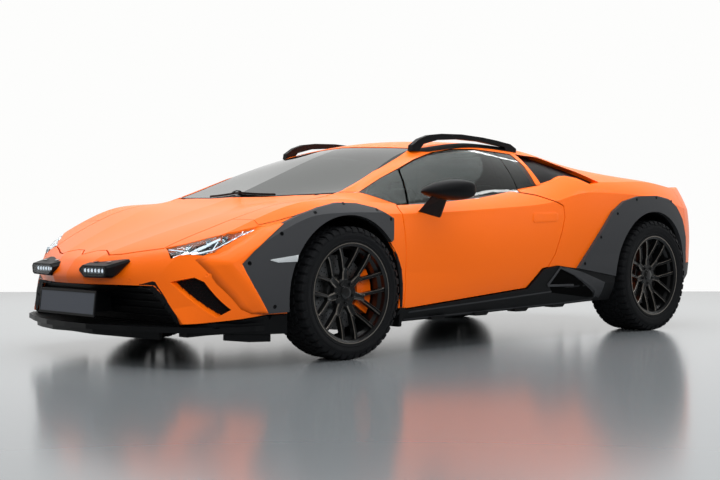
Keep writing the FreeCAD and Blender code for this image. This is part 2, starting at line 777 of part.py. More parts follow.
# Sub-frame, floor and wheel housings
sill_shares = ((1.845, 0.150), (1.845, 0.186), (1.462, 0.247), (1.375, 0.247), (1.375, 0.165))
arch_wall = 5.0
liner_low_share = 0.20
engine_opening_half_width = 425.0
rib_depth = 60.0
lid_clearance = 8.0
door_room_inner_y = 705.0
seat_rail_half_gap = 150.0
seat_rail_width = 40.0
seat_rail_low = 190.0
seat_rail_high = 240.0
seat_rail_front_x = 120.0
seat_rail_rear_x = -400.0
seat_middle_y = 370.0
engine_mount_high = 300.0
muffler_low = 470.0
scuttle_inset = 8.0
scuttle_thickness = 22.0
lid_arm_steps = ((-100.0, -90.0), (-100.0, -40.0), (-30.0, -28.0), (-6.0, -26.0), (-4.5, 0.0), (4.5, 0.0),
                 (12.0, -36.0), (0.0, -60.0))
cover_arm_steps = ((82.0, -60.0), (82.0, -20.0), (45.0, -20.0), (4.2, 4.0), (-4.2, -4.0), (10.0, -50.0))


def cross_wall(low_x, thickness, top=high):
    """Upright wall across the car, before it is trimmed to the body."""
    return box(low_x, low_x + thickness, -side_high_y, side_high_y, low, top)


def floor_pan():
    """Floor that follows the underside of the body."""
    region = centred_box(floor_rear_x, floor_front_x - overrun * 2, floor_half_width, low,
                         up(pan_high_share))
    return region.common(body()).cut(body(floor_thickness))


def ring_opening(low_x, high_x):
    """Opening in a rib round the engine, clear of the panels over it."""
    room = centred_box(low_x - overrun, high_x + overrun, engine_opening_half_width,
                       up(engine_hole_low_share), high)
    return room.common(body(rib_depth))


def housing_solid(axle_x, axle_z, radius, depth):
    """Solid that holds the left wheel housing."""
    outer = arch(axle_x, axle_z, radius - seat_gap, depth - arch_wall)
    keep = box(axle_x - radius - overrun, axle_x + radius + overrun, 0.0, side_high_y,
               up(liner_low_share), high)
    return outer.common(body(scuttle_inset)).common(keep)


def lid_hinge_arm(steps, pin_x, middle_y, pin_z):
    """Flat hinge arm from its outline about the pin, with an eye and a cross pin."""
    side = middle_y - lid_arm_width / 2
    arm = extrude([Vector(pin_x + x, side, pin_z + z) for x, z in steps], Vector(0, lid_arm_width, 0))
    eye = cylinder(lid_arm_radius, Vector(pin_x, side, pin_z), Vector(0, lid_arm_width, 0))
    pin = cylinder(lid_pin_radius, Vector(pin_x, middle_y - lid_pin_reach, pin_z),
                   Vector(0, lid_pin_reach * 2, 0))
    return join([arm, eye, pin])


def lid_arm(middle_y):
    """Hinge arm of the front lid, from the dash wall."""
    return lid_hinge_arm(lid_arm_steps, lid_hinge_x, middle_y, lid_hinge_z)


def cover_arm(middle_y):
    """Hinge arm of the engine cover, from the roll hoop."""
    return lid_hinge_arm(cover_arm_steps, cover_hinge_x, middle_y, cover_hinge_z)


def make_scuttle():
    """Black strip under the wipers, at the foot of the windscreen."""
    region = scuttle_region()
    strip = layer(region, scuttle_inset, scuttle_inset + scuttle_thickness)
    strip = strip.cut(lid_region(shut_gap)).cut(windscreen_region(seam))
    return largest(strip)


upright_walls = (
    (dash_wall_x, dash_wall_thickness), (rear_wall_x, rear_wall_thickness), (hoop_x, rib_thickness),
    (rear_rib_x, rib_thickness), (tail_rib_x, rib_thickness), (front_rib_x, rib_thickness),
    (nose_rib_x, rib_thickness))
ringed_ribs = (hoop_x, rear_rib_x, tail_rib_x)
frame_inset = panel_thickness + seat_gap
smallest_member = 20000.0


def wall_slots():
    """Room that the long pieces leave at each wall and rib."""
    return [cross_wall(place - seat_gap, thickness + seat_gap * 2) for place, thickness in upright_walls]


def housing_zones():
    """Space of all four wheel housings, with a seat gap round them."""
    front = arch(front_axle_x, front_tyre_radius, front_arch_radius, arch_depth_front - arch_wall - seat_gap)
    rear = arch(rear_axle_x, rear_tyre_radius, rear_arch_radius, arch_depth_rear - arch_wall - seat_gap)
    return [front, mirrored(front), rear, mirrored(rear)]


def clear_of(shape, rooms):
    """A shape without some rooms."""
    for room in rooms:
        shape = shape.cut(room)
    return shape


def members(shape):
    """All solids of a shape but its crumbs."""
    return gather([solid for solid in shape.Solids if solid.Volume > smallest_member])


def make_floor_pan(rooms):
    """Floor with the seat rails and the engine mounts."""
    left = []
    for face in (-1, 1):
        low_y = seat_middle_y + face * seat_rail_half_gap - seat_rail_width / 2
        left.append(box(seat_rail_rear_x, seat_rail_front_x, low_y, low_y + seat_rail_width,
                        seat_rail_low, seat_rail_high))
    for mount_x in engine_mount_places:
        left.append(box(mount_x, mount_x + engine_mount_length, engine_half_width - engine_mount_length,
                        engine_half_width, up(engine_mount_low_share), engine_mount_high))
    pan = floor_pan().fuse(left + [mirrored(shape) for shape in left])
    return largest(clear_of(pan, housing_zones() + rooms))


def make_bulkheads(rooms):
    """Dash wall with the lid's hinge arms, and the wall behind the seats."""
    walls = []
    for place, thickness, top in ((dash_wall_x, dash_wall_thickness, dash_wall_high),
                                  (rear_wall_x, rear_wall_thickness, high)):
        wall = cross_wall(place, thickness, top).common(body(frame_inset))
        walls.append(clear_of(wall, housing_zones()))
    walls[0] = walls[0].fuse([lid_arm(side * lid_hinge_y) for side in (1, -1)])
    return gather([largest(clear_of(wall, rooms)) for wall in walls])


def make_cross_ribs(rooms):
    """Roll hoop with the cover's hinge arms, and the ribs of the nose and the tail."""
    front_hole = centred_box(front_rib_x - overrun, nose_rib_x + overrun, trunk_half_width,
                             up(nose_hole_low_share), up(nose_hole_high_share))
    ribs = []
    for place, thickness in upright_walls[2:]:
        rib = cross_wall(place, thickness).common(body(frame_inset))
        room = ring_opening(place, place + thickness) if place in ringed_ribs else front_hole
        ribs.append(clear_of(rib.cut(room), housing_zones()))
    ribs[0] = ribs[0].fuse([cover_arm(side * cover_hinge_y) for side in (1, -1)])
    beam = centred_box(rear_rib_x - overrun, rear_rib_x + rib_thickness / 2,
                       engine_opening_half_width + rib_thickness, muffler_low - rib_thickness,
                       muffler_low - seat_gap)
    ribs[1] = ribs[1].fuse(beam)
    return members(gather([clear_of(rib, rooms) for rib in ribs]))


def make_long_members(rooms):
    """Tunnel and rails, between the walls and ribs."""
    tunnel = centred_box(rear_wall_x, dash_wall_x + dash_wall_thickness, tunnel_half_width,
                         up(tunnel_low_share),
                         up(tunnel_low_share) + tunnel_height)
    rail_high = trunk_floor_z + trunk_wall * 2
    front_rail = box(dash_wall_x, nose_rib_x + rib_thickness, rail_inner_y - rail_thickness,
                     arch_depth_front - arch_wall - seat_gap, low, rail_high)
    rear_rail = box(tail_rib_x, rear_wall_x + rear_wall_thickness, arch_depth_rear - rail_thickness,
                    arch_depth_rear - arch_wall - seat_gap, low, rail_high)
    shapes = [tunnel, front_rail, mirrored(front_rail), rear_rail, mirrored(rear_rail)]
    cut_shapes = [clear_of(shape, wall_slots()).common(body(frame_inset)) for shape in shapes]
    return members(gather([clear_of(shape, rooms) for shape in cut_shapes]))


def make_sills(rooms):
    """Sills with the posts and hinge arms of the doors."""
    post = box(door_hinge_x - hinge_arm_radius * 2, door_hinge_x + post_length - hinge_arm_radius * 3,
               sill_inner_y, sill_inner_y + post_length, low, post_high)
    sill = side_prism(sill_shares, sill_inner_y, side_high_y)
    left = join([post, sill]).common(body(frame_inset))
    left = left.fuse([hinge_arm(height) for height in door_hinge_heights])
    return both(largest(clear_of(left, rooms)))


def make_wheel_housings(rooms):
    """Thin round housings over the four wheels."""
    left = [housing_solid(front_axle_x, front_tyre_radius, front_arch_radius, arch_depth_front),
            housing_solid(rear_axle_x, rear_tyre_radius, rear_arch_radius, arch_depth_rear)]
    return gather([shape for piece in left for shape in both(largest(clear_of(piece, rooms))).Solids])


def make_luggage_box(rooms):
    """Open box between the front wheels."""
    low_x = dash_wall_x + dash_wall_thickness + seat_gap
    high_x = front_rib_x - seat_gap
    outer = centred_box(low_x, high_x, trunk_half_width, trunk_floor_z, high)
    inner = centred_box(low_x + trunk_wall, high_x - trunk_wall, trunk_half_width - trunk_wall,
                        trunk_floor_z + trunk_wall, high)
    shell = outer.cut(inner).common(body(frame_inset))
    return largest(clear_of(shell, rooms))


def frame_rooms():
    """Spaces that the frame leaves free for the wheels, doors, lamps, intakes and lids."""
    rooms = []
    for left in side_rooms():
        rooms += [left, mirrored(left)]
    rooms += pipe_holes(seam * 2)
    rooms.append(rear_window_prism(rear_wall_x - overrun, rear_wall_thickness + overrun * 2, seat_gap))
    lid_shell = body(panel_thickness + lid_clearance)
    rooms.append(lid_region(shut_gap).cut(lid_shell).cut(lid_arm_room()))
    rooms.append(cover_region(shut_gap).cut(lid_shell).cut(cover_arm_room()))
    return rooms


def rear_window_prism(low_x, length, grow=0.0):
    """Window shape behind the seats, as a prism along the car."""
    middle_low = rear_window_low
    points = [(-rear_window_half_width, middle_low), (rear_window_half_width, middle_low),
              (rear_window_half_width * rear_window_taper,
               rear_window_high), (-rear_window_half_width * rear_window_taper, rear_window_high)]
    places = [Vector(low_x, y, z) for y, z in points]
    return extrude(places, Vector(length, 0, 0), grow)


def lid_arm_room():
    """Space of the front lid's hinge arms, which keep their shape inside the lid's clearance."""
    reach = lid_arm_width * 2
    return gather([box(lid_hinge_x - overrun, lid_hinge_x + overrun, side * lid_hinge_y - reach,
                       side * lid_hinge_y + reach, up(lid_arm_room_low_share),
                       up(lid_arm_room_high_share)) for side in (1, -1)])


def cover_arm_room():
    """Space of the engine cover's hinge arms."""
    reach = lid_arm_width * 2
    return gather([box(cover_hinge_x - overrun, cover_hinge_x + overrun, side * cover_hinge_y - reach,
                       side * cover_hinge_y + reach, up(cover_arm_room_low_share),
                       up(cover_arm_room_high_share)) for side in (1, -1)])


engine_front_x = -620.0
engine_rear_x = -1290.0
engine_half_width = 300.0
engine_high = 780.0
gearbox_rear_x = -1840.0
gearbox_half_width = 190.0
gearbox_high = 560.0
engine_mount_length = 80.0
engine_mount_places = (engine_rear_x + 90.0, engine_front_x - 170.0)


def side_rooms():
    """Left side spaces that the frame leaves free: wheels, door, lamp and intake."""
    front_room = arch(front_axle_x, front_tyre_radius, front_arch_radius - seat_gap - arch_wall,
                      arch_depth_front)
    rear_room = arch(rear_axle_x, rear_tyre_radius, rear_arch_radius - seat_gap - arch_wall, arch_depth_rear)
    door_room = door_outline(shut_gap / 2, door_room_inner_y)
    arms = [box(door_hinge_x - overrun, door_hinge_x + overrun, sill_inner_y,
                door_hinge_y + hinge_arm_radius,
                height - hinge_arm_thickness * 2, height + hinge_arm_thickness * 2)
            for height in door_hinge_heights]
    post_room = box(door_hinge_x - overrun, door_hinge_x + overrun, 0.0, sill_inner_y + post_length, low,
                    high)
    door_room = door_room.cut(join([post_room] + arms))
    lamp_room = headlamp_region(seat_gap).cut(body(headlamp_depth + seat_gap))
    intake_room = intake_region(intake_lap + seat_gap).cut(body(panel_thickness * 2))
    return [front_room, rear_room, door_room, lamp_room, intake_room]


headlamp_depth = 58.0
headlamp_recess = 1.5


# Dark pieces of the nose and tail
chin_line_shares = ((3.02, 0.163), (2.803, 0.172), (2.47, 0.206), (2.30, 0.206), (2.30, 0.05), (3.02, 0.05))
chin_plan_shares = (
    (3.000, 0.000), (2.996, 0.200), (2.930, 0.470), (2.850, 0.700), (2.780, 0.800), (2.660, 0.880),
    (2.520, 0.910), (2.330, 0.890), (2.330, 0.000))
chin_low = 171.0
chin_high = 196.0
nose_face_points = ((2050.0, 204.0), (2070.0, 280.0), (2089.0, 344.0), (2105.5, 389.0))
grille_recess = 20.0
grille_blade_recess = 6.0
grille_blade_heights = (236.0, 270.0, 304.0, 338.0, 366.0)
grille_blade_thickness = 7.0
vent_recess = 22.0
intake_lap = 12.0
intake_panel_thickness = 6.0
plate_half_width = 272.0
plate_height = 116.0
plate_thickness = 9.0
plate_low_z = 236.0
plate_front_x = 2257.0
plate_bracket_half_width = 110.0
plate_bracket_rear_x = 2062.0
plate_tilt = 6.0


def chin_line(grow=0.0):
    return side_prism(chin_line_shares, -side_high_y, side_high_y, grow)


def make_chin():
    """Black lower nose with its flat lip, ahead of the floor pan."""
    lower = chin_line(-seam).common(centred_box(floor_front_x - overrun * 2 + seam, half_length, side_high_y,
                                                low, high)).common(body())
    points = [Vector(along(a), b * half_width, chin_low) for a, b in both_sides(chin_plan_shares)]
    lip = extrude(points, Vector(0, 0, chin_high - chin_low))
    whole = join([lower, lip])
    whole = whole.cut(centred_box(-half_length, floor_front_x - overrun * 2 + seam, floor_half_width + seam,
                                  low, high))
    housing = arch(front_axle_x, front_tyre_radius, front_arch_radius,
                   arch_depth_front - arch_wall - seat_gap)
    whole = whole.cut(housing).cut(mirrored(housing))
    rail = box(dash_wall_x, nose_rib_x + rib_thickness, rail_inner_y - rail_thickness - seam,
               arch_depth_front + seam, low + overrun, high)
    whole = whole.cut(rail).cut(mirrored(rail))
    for cut_x in (front_rib_x, nose_rib_x):
        whole = whole.cut(centred_box(cut_x - seam, cut_x + rib_thickness + seam, side_high_y,
                                      up(chin_pan_low_share) + floor_thickness / 3, high))
    return largest(whole)


def nose_slab(near, far):
    """Slab across the car between two depths behind the flat lower nose face."""
    front = [Vector(x - near, -side_high_y, z) for x, z in nose_face_points]
    back = [Vector(x - far, -side_high_y, z) for x, z in reversed(nose_face_points)]
    return extrude(front + back, Vector(0, side_high_y * 2, 0))


def make_front_grille():
    """Grille panel with its cross blades, side vent panels and the blank plate."""
    region = grille_region(-seat_gap)
    blade_zone = region.common(nose_slab(grille_blade_recess, grille_recess + seam))
    pieces = [region.common(nose_slab(grille_recess, panel_thickness))]
    for height in grille_blade_heights:
        level = centred_box(0.0, half_length, side_high_y, height, height + grille_blade_thickness)
        pieces.append(blade_zone.common(level))
    bracket = centred_box(plate_bracket_rear_x, plate_front_x - plate_thickness, plate_bracket_half_width,
                          plate_low_z + plate_thickness, plate_low_z + plate_height - plate_thickness)
    pieces.append(bracket.cut(plate(seat_gap)))
    vent = largest(layer(vent_region(-seat_gap), vent_recess, panel_thickness))
    return gather([largest(join(pieces)), vent, mirrored(vent), plate()])


def plate(grow=0.0):
    """Blank number plate, leaning back with the nose."""
    blank = centred_box(plate_front_x - plate_thickness - grow, plate_front_x + grow,
                        plate_half_width + grow,
                        plate_low_z - grow, plate_low_z + plate_height + grow)
    return blank.rotate(Vector(plate_front_x, 0, plate_low_z), Vector(0, 1, 0), -plate_tilt)


def make_headlamps():
    region = headlamp_region(-seat_gap)
    return both(largest(layer(region, headlamp_recess, headlamp_depth)))


lamp_front_x = 2229.0
lamp_rear_x = 2112.0
lamp_front_points = ((129.0, 437.0), (335.0, 445.0), (337.0, 480.0), (318.0, 497.0), (150.0, 497.0),
                     (127.0, 480.0))
lamp_rear_points = ((215.0, 505.0), (380.0, 505.0), (390.0, 510.0), (386.0, 516.0), (230.0, 520.0),
                    (212.0, 514.0))


def make_aux_lamps():
    """Two wedge-shaped lamps that stand on the nose."""
    wires = []
    for x, points in ((lamp_front_x, lamp_front_points), (lamp_rear_x, lamp_rear_points)):
        places = [Vector(x, y, z) for y, z in points]
        wires.append(Part.makePolygon(places + [places[0]]))
    lamp = Part.makeLoft(wires, True, True)
    foot_box = box(lamp_rear_x, lamp_front_x - rib_thickness * 2, lamp_front_points[0][0] + overrun,
                   lamp_front_points[1][0] - overrun / 2, lamp_front_points[0][1], lamp_front_points[3][1])
    lamp = join([lamp, foot_box.common(body(-rib_thickness))]).cut(body(-seat_gap))
    return both(largest(lamp))


tail_panel_recess = 22.0
tail_lamp_recess = 3.0
fin_places = (90.0, 260.0, 430.0)
fin_thickness = 12.0
fin_low = 232.0
fin_front_x = -2098.0
pipe_y = 190.0
pipe_z = 590.0
pipe_radius = 58.0
pipe_wall = 3.0
pipe_rear_x = -2228.0
muffler_front_x = -1870.0
muffler_rear_x = -2070.0
muffler_half_width = 370.0
muffler_height = 170.0


def pipe_holes(grow):
    """Room for both pipes through the tail."""
    reach = half_length + muffler_rear_x
    return [cylinder(pipe_radius + grow, Vector(-half_length, side * pipe_y, pipe_z), Vector(reach, 0, 0))
            for side in (1, -1)]


def make_tail_panel():
    """Dark panel across the tail, with holes for the two pipes."""
    panel = layer(tail_panel_region(-seat_gap), tail_panel_recess, panel_thickness)
    for hole in pipe_holes(seam):
        panel = panel.cut(hole)
    return largest(panel)


def make_tail_lamps():
    region = front_prism(tail_lamp_shares, -half_length, along(tail_front_share))
    inside = tail_panel_region(-seat_gap)
    lamp = layer(region.common(inside), tail_lamp_recess, tail_panel_recess - seat_gap)
    return both(largest(lamp))


def make_diffuser():
    """Black lower tail with upright fins that reach the rear end of the car."""
    region = centred_box(-half_length, along(tail_start_share) - seam, side_high_y, low,
                         up(diffuser_top_share) - seam)
    skin = layer(region)
    for left in (flare_region(rear_flare_shares, seat_gap), rear_arch):
        skin = skin.cut(left).cut(mirrored(left))
    pan_room = centred_box(floor_rear_x - seam, 0.0, floor_half_width + seam, low, up(floor_zone_high_share))
    pieces = [largest(skin.cut(pan_room))]
    top = up(diffuser_top_share) - overrun
    for place in fin_places:
        points = [(fin_front_x, fin_low + overrun), (-half_length, fin_low),
                  (-half_length, fin_low + overrun),
                  (-half_length + overrun, top), (fin_front_x, top - overrun)]
        places = [Vector(x, place - fin_thickness / 2, z) for x, z in points]
        fin = extrude(places, Vector(0, fin_thickness, 0))
        pieces += [fin, mirrored(fin)]
    return largest(join(pieces))


def make_exhausts():
    """Silencer with two large pipes."""
    silencer = centred_box(muffler_rear_x, muffler_front_x, muffler_half_width, muffler_low,
                           muffler_low + muffler_height)
    silencer = silencer.makeChamfer(overrun / 4, silencer.Edges)
    pieces = [silencer]
    bores = []
    for side in (1, -1):
        start = Vector(muffler_rear_x + overrun, side * pipe_y, pipe_z)
        pieces.append(cylinder(pipe_radius, start, Vector(pipe_rear_x - start.x, 0, 0)))
        bore_start = Vector(muffler_rear_x - seam, side * pipe_y, pipe_z)
        bores.append(cylinder(pipe_radius - pipe_wall, bore_start, Vector(pipe_rear_x - start.x, 0, 0)))
    whole = join(pieces)
    for bore in bores:
        whole = whole.cut(bore)
    return largest(whole)


def make_engine_block():
    """Engine and gearbox as one plain block."""
    seat = engine_mount_high + seat_gap
    engine = centred_box(engine_rear_x, engine_front_x, engine_half_width, seat, engine_high)
    gearbox = centred_box(gearbox_rear_x, engine_rear_x + overrun, gearbox_half_width, seat, gearbox_high)
    return join([engine, gearbox])


slot_count = 7
slot_pitch = 82.0
slot_width = 46.0
slot_lean = 40.0
first_slot_x = -905.0


def make_engine_cover():
    """Rear cover with a field of leaning slats over the engine."""
    panel = layer(cover_region(-seam))
    field = plan_prism(both_sides(louvre_field_shares), up(cover_low_share), high)
    for index in range(slot_count):
        x = first_slot_x - index * slot_pitch
        points = [(x, up(slot_low_share)), (x - slot_width, up(slot_low_share)),
                  (x - slot_width + slot_lean * slot_lean_reach, up(slot_high_share)),
                  (x + slot_lean * slot_lean_reach, up(slot_high_share))]
        places = [Vector(a, -half_width, b) for a, b in points]
        slot = extrude(places, Vector(0, half_width * 2, 0))
        panel = panel.cut(slot.common(field))
    reach = lid_arm_radius + hinge_slot_play
    for side in (1, -1):
        middle = side * cover_hinge_y
        slot = box(cover_hinge_x - reach, cover_hinge_x + overrun * 2, middle - lid_arm_width,
                   middle + lid_arm_width, low, high)
        panel = panel.cut(slot)
        start = Vector(cover_hinge_x, middle - lid_arm_width * 2, cover_hinge_z)
        panel = panel.cut(cylinder(lid_pin_radius + hinge_play, start, Vector(0, lid_arm_width * 4, 0)))
    return largest(panel)


# Roof rails
rail_top = 1214.0
rail_side_points = (
    (398.0, 1100.0), (392.0, 1133.0), (330.0, 1172.0), (254.0, 1197.0), (154.0, 1209.0), (-17.0, rail_top),
    (-200.0, 1205.0), (-328.0, 1193.0), (-458.0, 1176.0), (-512.0, 1150.0), (-512.0, 1100.0))
rail_gap_points = ((300.0, 1142.0), (180.0, 1172.0), (0.0, 1184.0), (-180.0, 1180.0), (-400.0, 1158.0),
                   (-440.0, 1100.0), (340.0, 1100.0))
rail_low_y = 548.0
rail_width = 34.0


def make_roof_rails():
    """Raised rails with open feet, seated on the roof edges."""
    bar = extrude([Vector(x, rail_low_y, z) for x, z in rail_side_points], Vector(0, rail_width, 0))
    gap = extrude([Vector(x, rail_low_y - seam, z) for x, z in rail_gap_points],
                  Vector(0, rail_width + seam * 2, 0))
    rail = bar.cut(gap.cut(body(-seam)))
    rail = largest(rail.cut(body(-seat_gap)))
    return both(rail)


# Mirrors: place across, rear and front ends, lower and upper edges of each section of the head
mirror_sections = (
    (896.0, 520.0, 640.0, 838.0, 872.0), (915.0, 452.0, 678.0, 820.0, 905.0), (960.0, 430.0, 688.0,
                                                                               807.0, 921.0),
    (1020.0, 415.0, 655.0, 805.0, 925.0), (1068.0, 403.0, 575.0, 817.0, 916.0), (1087.0, 404.0, 490.0,
                                                                                 838.0, 897.0))
mirror_outline_shares = (
    (0.00, 0.20), (0.00, 0.80), (0.12, 0.97), (0.45, 1.00), (0.80, 0.80), (1.00, 0.45), (0.90, 0.25),
    (0.50, 0.03), (0.12, 0.02))
mirror_foot_points = ((655.0, 752.0), (492.0, 712.0), (476.0, 724.0), (545.0, 775.0))
mirror_neck_points = ((625.0, 846.0), (520.0, 838.0), (512.0, 852.0), (615.0, 868.0))
mirror_foot_y = 885.0
mirror_neck_y = 985.0


def mirror_section(y, rear_x, front_x, low_z, high_z):
    """Closed outline of the mirror head at one place across."""
    places = [Vector(rear_x + a * (front_x - rear_x), y, low_z + b * (high_z - low_z))
              for a, b in mirror_outline_shares]
    return Part.makePolygon(places + [places[0]])


def make_mirror():
    """Left mirror head on its blade-shaped stalk."""
    head = Part.makeLoft([mirror_section(*row) for row in mirror_sections], True, True)
    foot = [Vector(x, mirror_foot_y, z) for x, z in mirror_foot_points]
    neck = [Vector(x, mirror_neck_y, z) for x, z in mirror_neck_points]
    stalk = Part.makeLoft([Part.makePolygon(foot + [foot[0]]), Part.makePolygon(neck + [neck[0]])], True,
                          True)
    return largest(join([head, stalk]).cut(body(-seat_gap)))


def make_intake_panels():
    """Dark panels that close the air intakes behind the side windows."""
    outer = panel_thickness + seat_gap
    return both(largest(layer(intake_region(intake_lap), outer, outer + intake_panel_thickness)))


# Cabin fittings
seat_half_width = 235.0
seat_back_x = -330.0
dash_points = ((860.0, 545.0), (1014.6, 545.0), (1014.6, 800.0), (930.0, 812.0), (800.0, 790.0),
               (700.0, 740.0),
               (645.0, 690.0), (640.0, 625.0), (740.0, 570.0))
dash_half_width = 689.0
console_half_width = 105.0
console_front_x = 870.0
console_rear_x = -60.0
console_high = 500.0
cushion_points = ((150.0, 300.0), (165.0, 360.0), (120.0, 420.0), (-60.0, 395.0), (-250.0, 370.0),
                  (-300.0, 420.0), (-400.0, 800.0), (-410.0, 960.0), (-455.0, 975.0), (-480.0, 900.0),
                  (-478.0, 700.0), (-440.0, 420.0), (-400.0, 240.35), (130.0, 240.35))
bolster_points = ((80.0, 300.0), (110.0, 440.0), (40.0, 470.0), (-200.0, 440.0), (-250.0, 520.0),
                  (-330.0, 720.0),
                  (-400.0, 760.0), (-460.0, 640.0), (-420.0, 400.0), (-380.0, 245.0))
bolster_width = 62.0
shoulder_trim = 90.0


def make_seat():
    """One bucket seat with raised side bolsters."""
    low_y = seat_middle_y - seat_half_width
    high_y = seat_middle_y + seat_half_width
    shell = extrude([Vector(x, low_y + bolster_width / 2, z) for x, z in cushion_points],
                    Vector(0, high_y - low_y - bolster_width, 0))
    for side in (-1, 1):
        start = seat_middle_y + side * seat_half_width
        corner = [Vector(seat_back_x + overrun, start, up(shoulder_low_share)),
                  Vector(seat_back_x + overrun, start, up(shoulder_high_share)),
                  Vector(seat_back_x + overrun, start - side * (seat_half_width - shoulder_trim),
                         up(shoulder_high_share))]
        shell = shell.cut(extrude(corner, Vector(-half_width, 0, 0)))
    pieces = [shell]
    for y in (low_y, high_y - bolster_width):
        pieces.append(extrude([Vector(x, y, z) for x, z in bolster_points], Vector(0, bolster_width, 0)))
    return join(pieces)


wheel_tilt = 22.0
steering_wheel_x = 410.0
steering_wheel_z = 715.0
steering_wheel_radius = 172.0
steering_grip_radius = 16.0
steering_hub_radius = 55.0
steering_hub_depth = 40.0
column_radius = 34.0
shaft_radius = 13.0
shaft_length = 170.0
shaft_seat_depth = 60.0
steering_spoke_width = 34.0
steering_spoke_depth = 16.0
grip_sides = 8
hand_wheel_sides = 28
right_angle = 90.0


def steering_axis():
    """Direction from the wheel down the column."""
    angle = math.radians(wheel_tilt)
    return Vector(math.cos(angle), 0, -math.sin(angle))


def steering_centre():
    return Vector(steering_wheel_x, seat_middle_y, steering_wheel_z)


def make_dashboard():
    """Dash panel with the steering column tube and the middle console."""
    dash = extrude([Vector(x, -dash_half_width, z) for x, z in dash_points],
                   Vector(0, dash_half_width * 2, 0))
    tunnel_top = up(tunnel_low_share) + tunnel_height
    console = centred_box(console_rear_x, console_front_x, console_half_width, tunnel_top + seat_gap,
                          console_high)
    riser = centred_box(dash_points[7][0] - overrun * 2, console_front_x, console_half_width,
                        tunnel_top + seat_gap, dash_points[7][1] + overrun / 2)
    way = steering_axis()
    tube_start = steering_centre() + way * (shaft_length - shaft_seat_depth)
    tube = cylinder(column_radius, tube_start, way * (shaft_length * shaft_reach))
    whole = join([dash, console, riser, tube])
    bore = cylinder(shaft_radius + hinge_play, tube_start - way * seam,
                    way * (shaft_seat_depth + seam + hinge_play))
    whole = whole.cut(bore)
    housing = arch(front_axle_x, front_tyre_radius, front_arch_radius,
                   arch_depth_front - arch_wall - seat_gap)
    whole = whole.cut(housing).cut(mirrored(housing))
    return largest(whole.common(body(door_depth - overrun)))


def turned_to_column(shape):
    """A shape drawn about +Y, turned to the column and moved to the hand wheel's centre."""
    placed = shape.copy()
    placed.rotate(Vector(0, 0, 0), Vector(0, 0, 1), -right_angle)
    placed.rotate(Vector(0, 0, 0), Vector(0, 1, 0), wheel_tilt)
    placed.translate(steering_centre())
    return placed


def grip_outline():
    """Eight-sided section of the hand wheel's grip."""
    places = []
    for index in range(grip_sides):
        angle = 2 * math.pi * (index + 0.5) / grip_sides
        places.append((steering_wheel_radius + steering_grip_radius * math.cos(angle),
                       steering_grip_radius * math.sin(angle)))
    return places


def make_steering_wheel():
    """Rim, hub, three spokes and the shaft that turns in the column."""
    grip = faceted_ring(grip_outline(), hand_wheel_sides)
    hub = polygon_disc(steering_hub_radius, -steering_hub_depth / 4, steering_hub_depth * 3 / 4,
                       hand_wheel_sides)
    shaft = cylinder(shaft_radius, Vector(0, 0, 0), Vector(0, shaft_length, 0))
    pieces = [grip, hub, shaft]
    for angle in (0.0, right_angle, right_angle * 2):
        spoke = box(0.0, steering_wheel_radius, -steering_spoke_depth / 2, steering_spoke_depth / 2,
                    -steering_spoke_width / 2, steering_spoke_width / 2)
        spoke.rotate(Vector(0, 0, 0), Vector(0, 1, 0), angle)
        pieces.append(spoke)
    return turned_to_column(join(pieces))


# Wheels, brakes and suspension. A wheel is drawn about its own centre, outer face to +Y.
wheel_sides = 40
bead_radius = 241.0
drop_radius = 226.0
rim_wall = 6.0
flange_width = 9.0
bead_width = 30.0
wheel_hub_radius = 74.0
hub_bore_radius = 30.3
spindle_play = 0.3
hub_back = 28.0
hub_face = 62.0
cap_radius = 33.0
cap_height = 8.0
spoke_stem_width = 40.0
spoke_arm_width = 17.0
spoke_fork_radius = 128.0
spoke_half_spread = 15.5
spoke_reach = 246.0
disc_radius = 190.0
disc_thickness = 32.0
disc_face = -6.0
disc_hat_radius = 92.0
disc_hat_wall = 8.0
knuckle_y = -64.0
knuckle_outer_y = -46.0
knuckle_inner_y = -84.0
knuckle_half_length = 22.0
bearing_radius = 56.0
kingpin_radius = 9.0
kingpin_play = 0.3
upper_joint_rise = 150.0
lower_joint_drop = 120.0
arm_thickness = 16.0
arm_clearance = 4.0
arm_half_spread = 150.0
arm_tip_half_width = 17.0
arm_tip_reach = 14.0
arm_eye_depth = 52.0
arm_bar_width = 34.0
caliper_outer_radius = 211.0
caliper_inner_radius = 118.0
caliper_half_angle = 33.0
caliper_disc_gap = 6.0
caliper_wall = 18.0
caliper_lug_width = 34.0
tyre_bead_share = 0.80
tyre_tread_share = 0.85
tyre_wall_rise = 40.0
tyre_wall_drop = 34.0
tyre_crown = 20.0
tyre_bead_thickness = 12.0
tread_groove_y = 34.0
drop_slope = 14.0
cap_sides = 20
full_turn = 360.0
spoke_foot_radius = 58.0
spoke_waist_half_width = 18.5
spoke_side_points = ((50.0, 62.0), (66.0, 62.0), (86.0, 54.0), (150.0, 78.0), (226.0, 98.0),
                     (243.0, 97.0), (243.0, 71.0),
                     (205.0, 62.0), (150.0, 42.0), (74.0, 28.0), (50.0, 28.0))


def rim_point(radius, y, index, sides):
    """Corner of a many-sided wheel outline; corner 0 points straight down."""
    angle = 2 * math.pi * index / sides
    return Vector(radius * math.sin(angle), y, -radius * math.cos(angle))


def faceted_ring(points, sides):
    """Ring with flat facets about the wheel axis, from its closed outline of radius and y."""
    faces = []
    for index in range(sides):
        for (near_radius, near_y), (far_radius, far_y) in zip(points, points[1:] + points[:1]):
            corners = [rim_point(near_radius, near_y, index, sides),
                       rim_point(far_radius, far_y, index, sides),
                       rim_point(far_radius, far_y, index + 1, sides),
                       rim_point(near_radius, near_y, index + 1, sides)]
            faces.append(Part.Face(Part.makePolygon(corners + [corners[0]])))
    shell = Part.makeShell(faces)
    shell.sewShape()
    ring = Part.makeSolid(shell)
    if ring.Volume < 0:
        ring.reverse()
    return ring


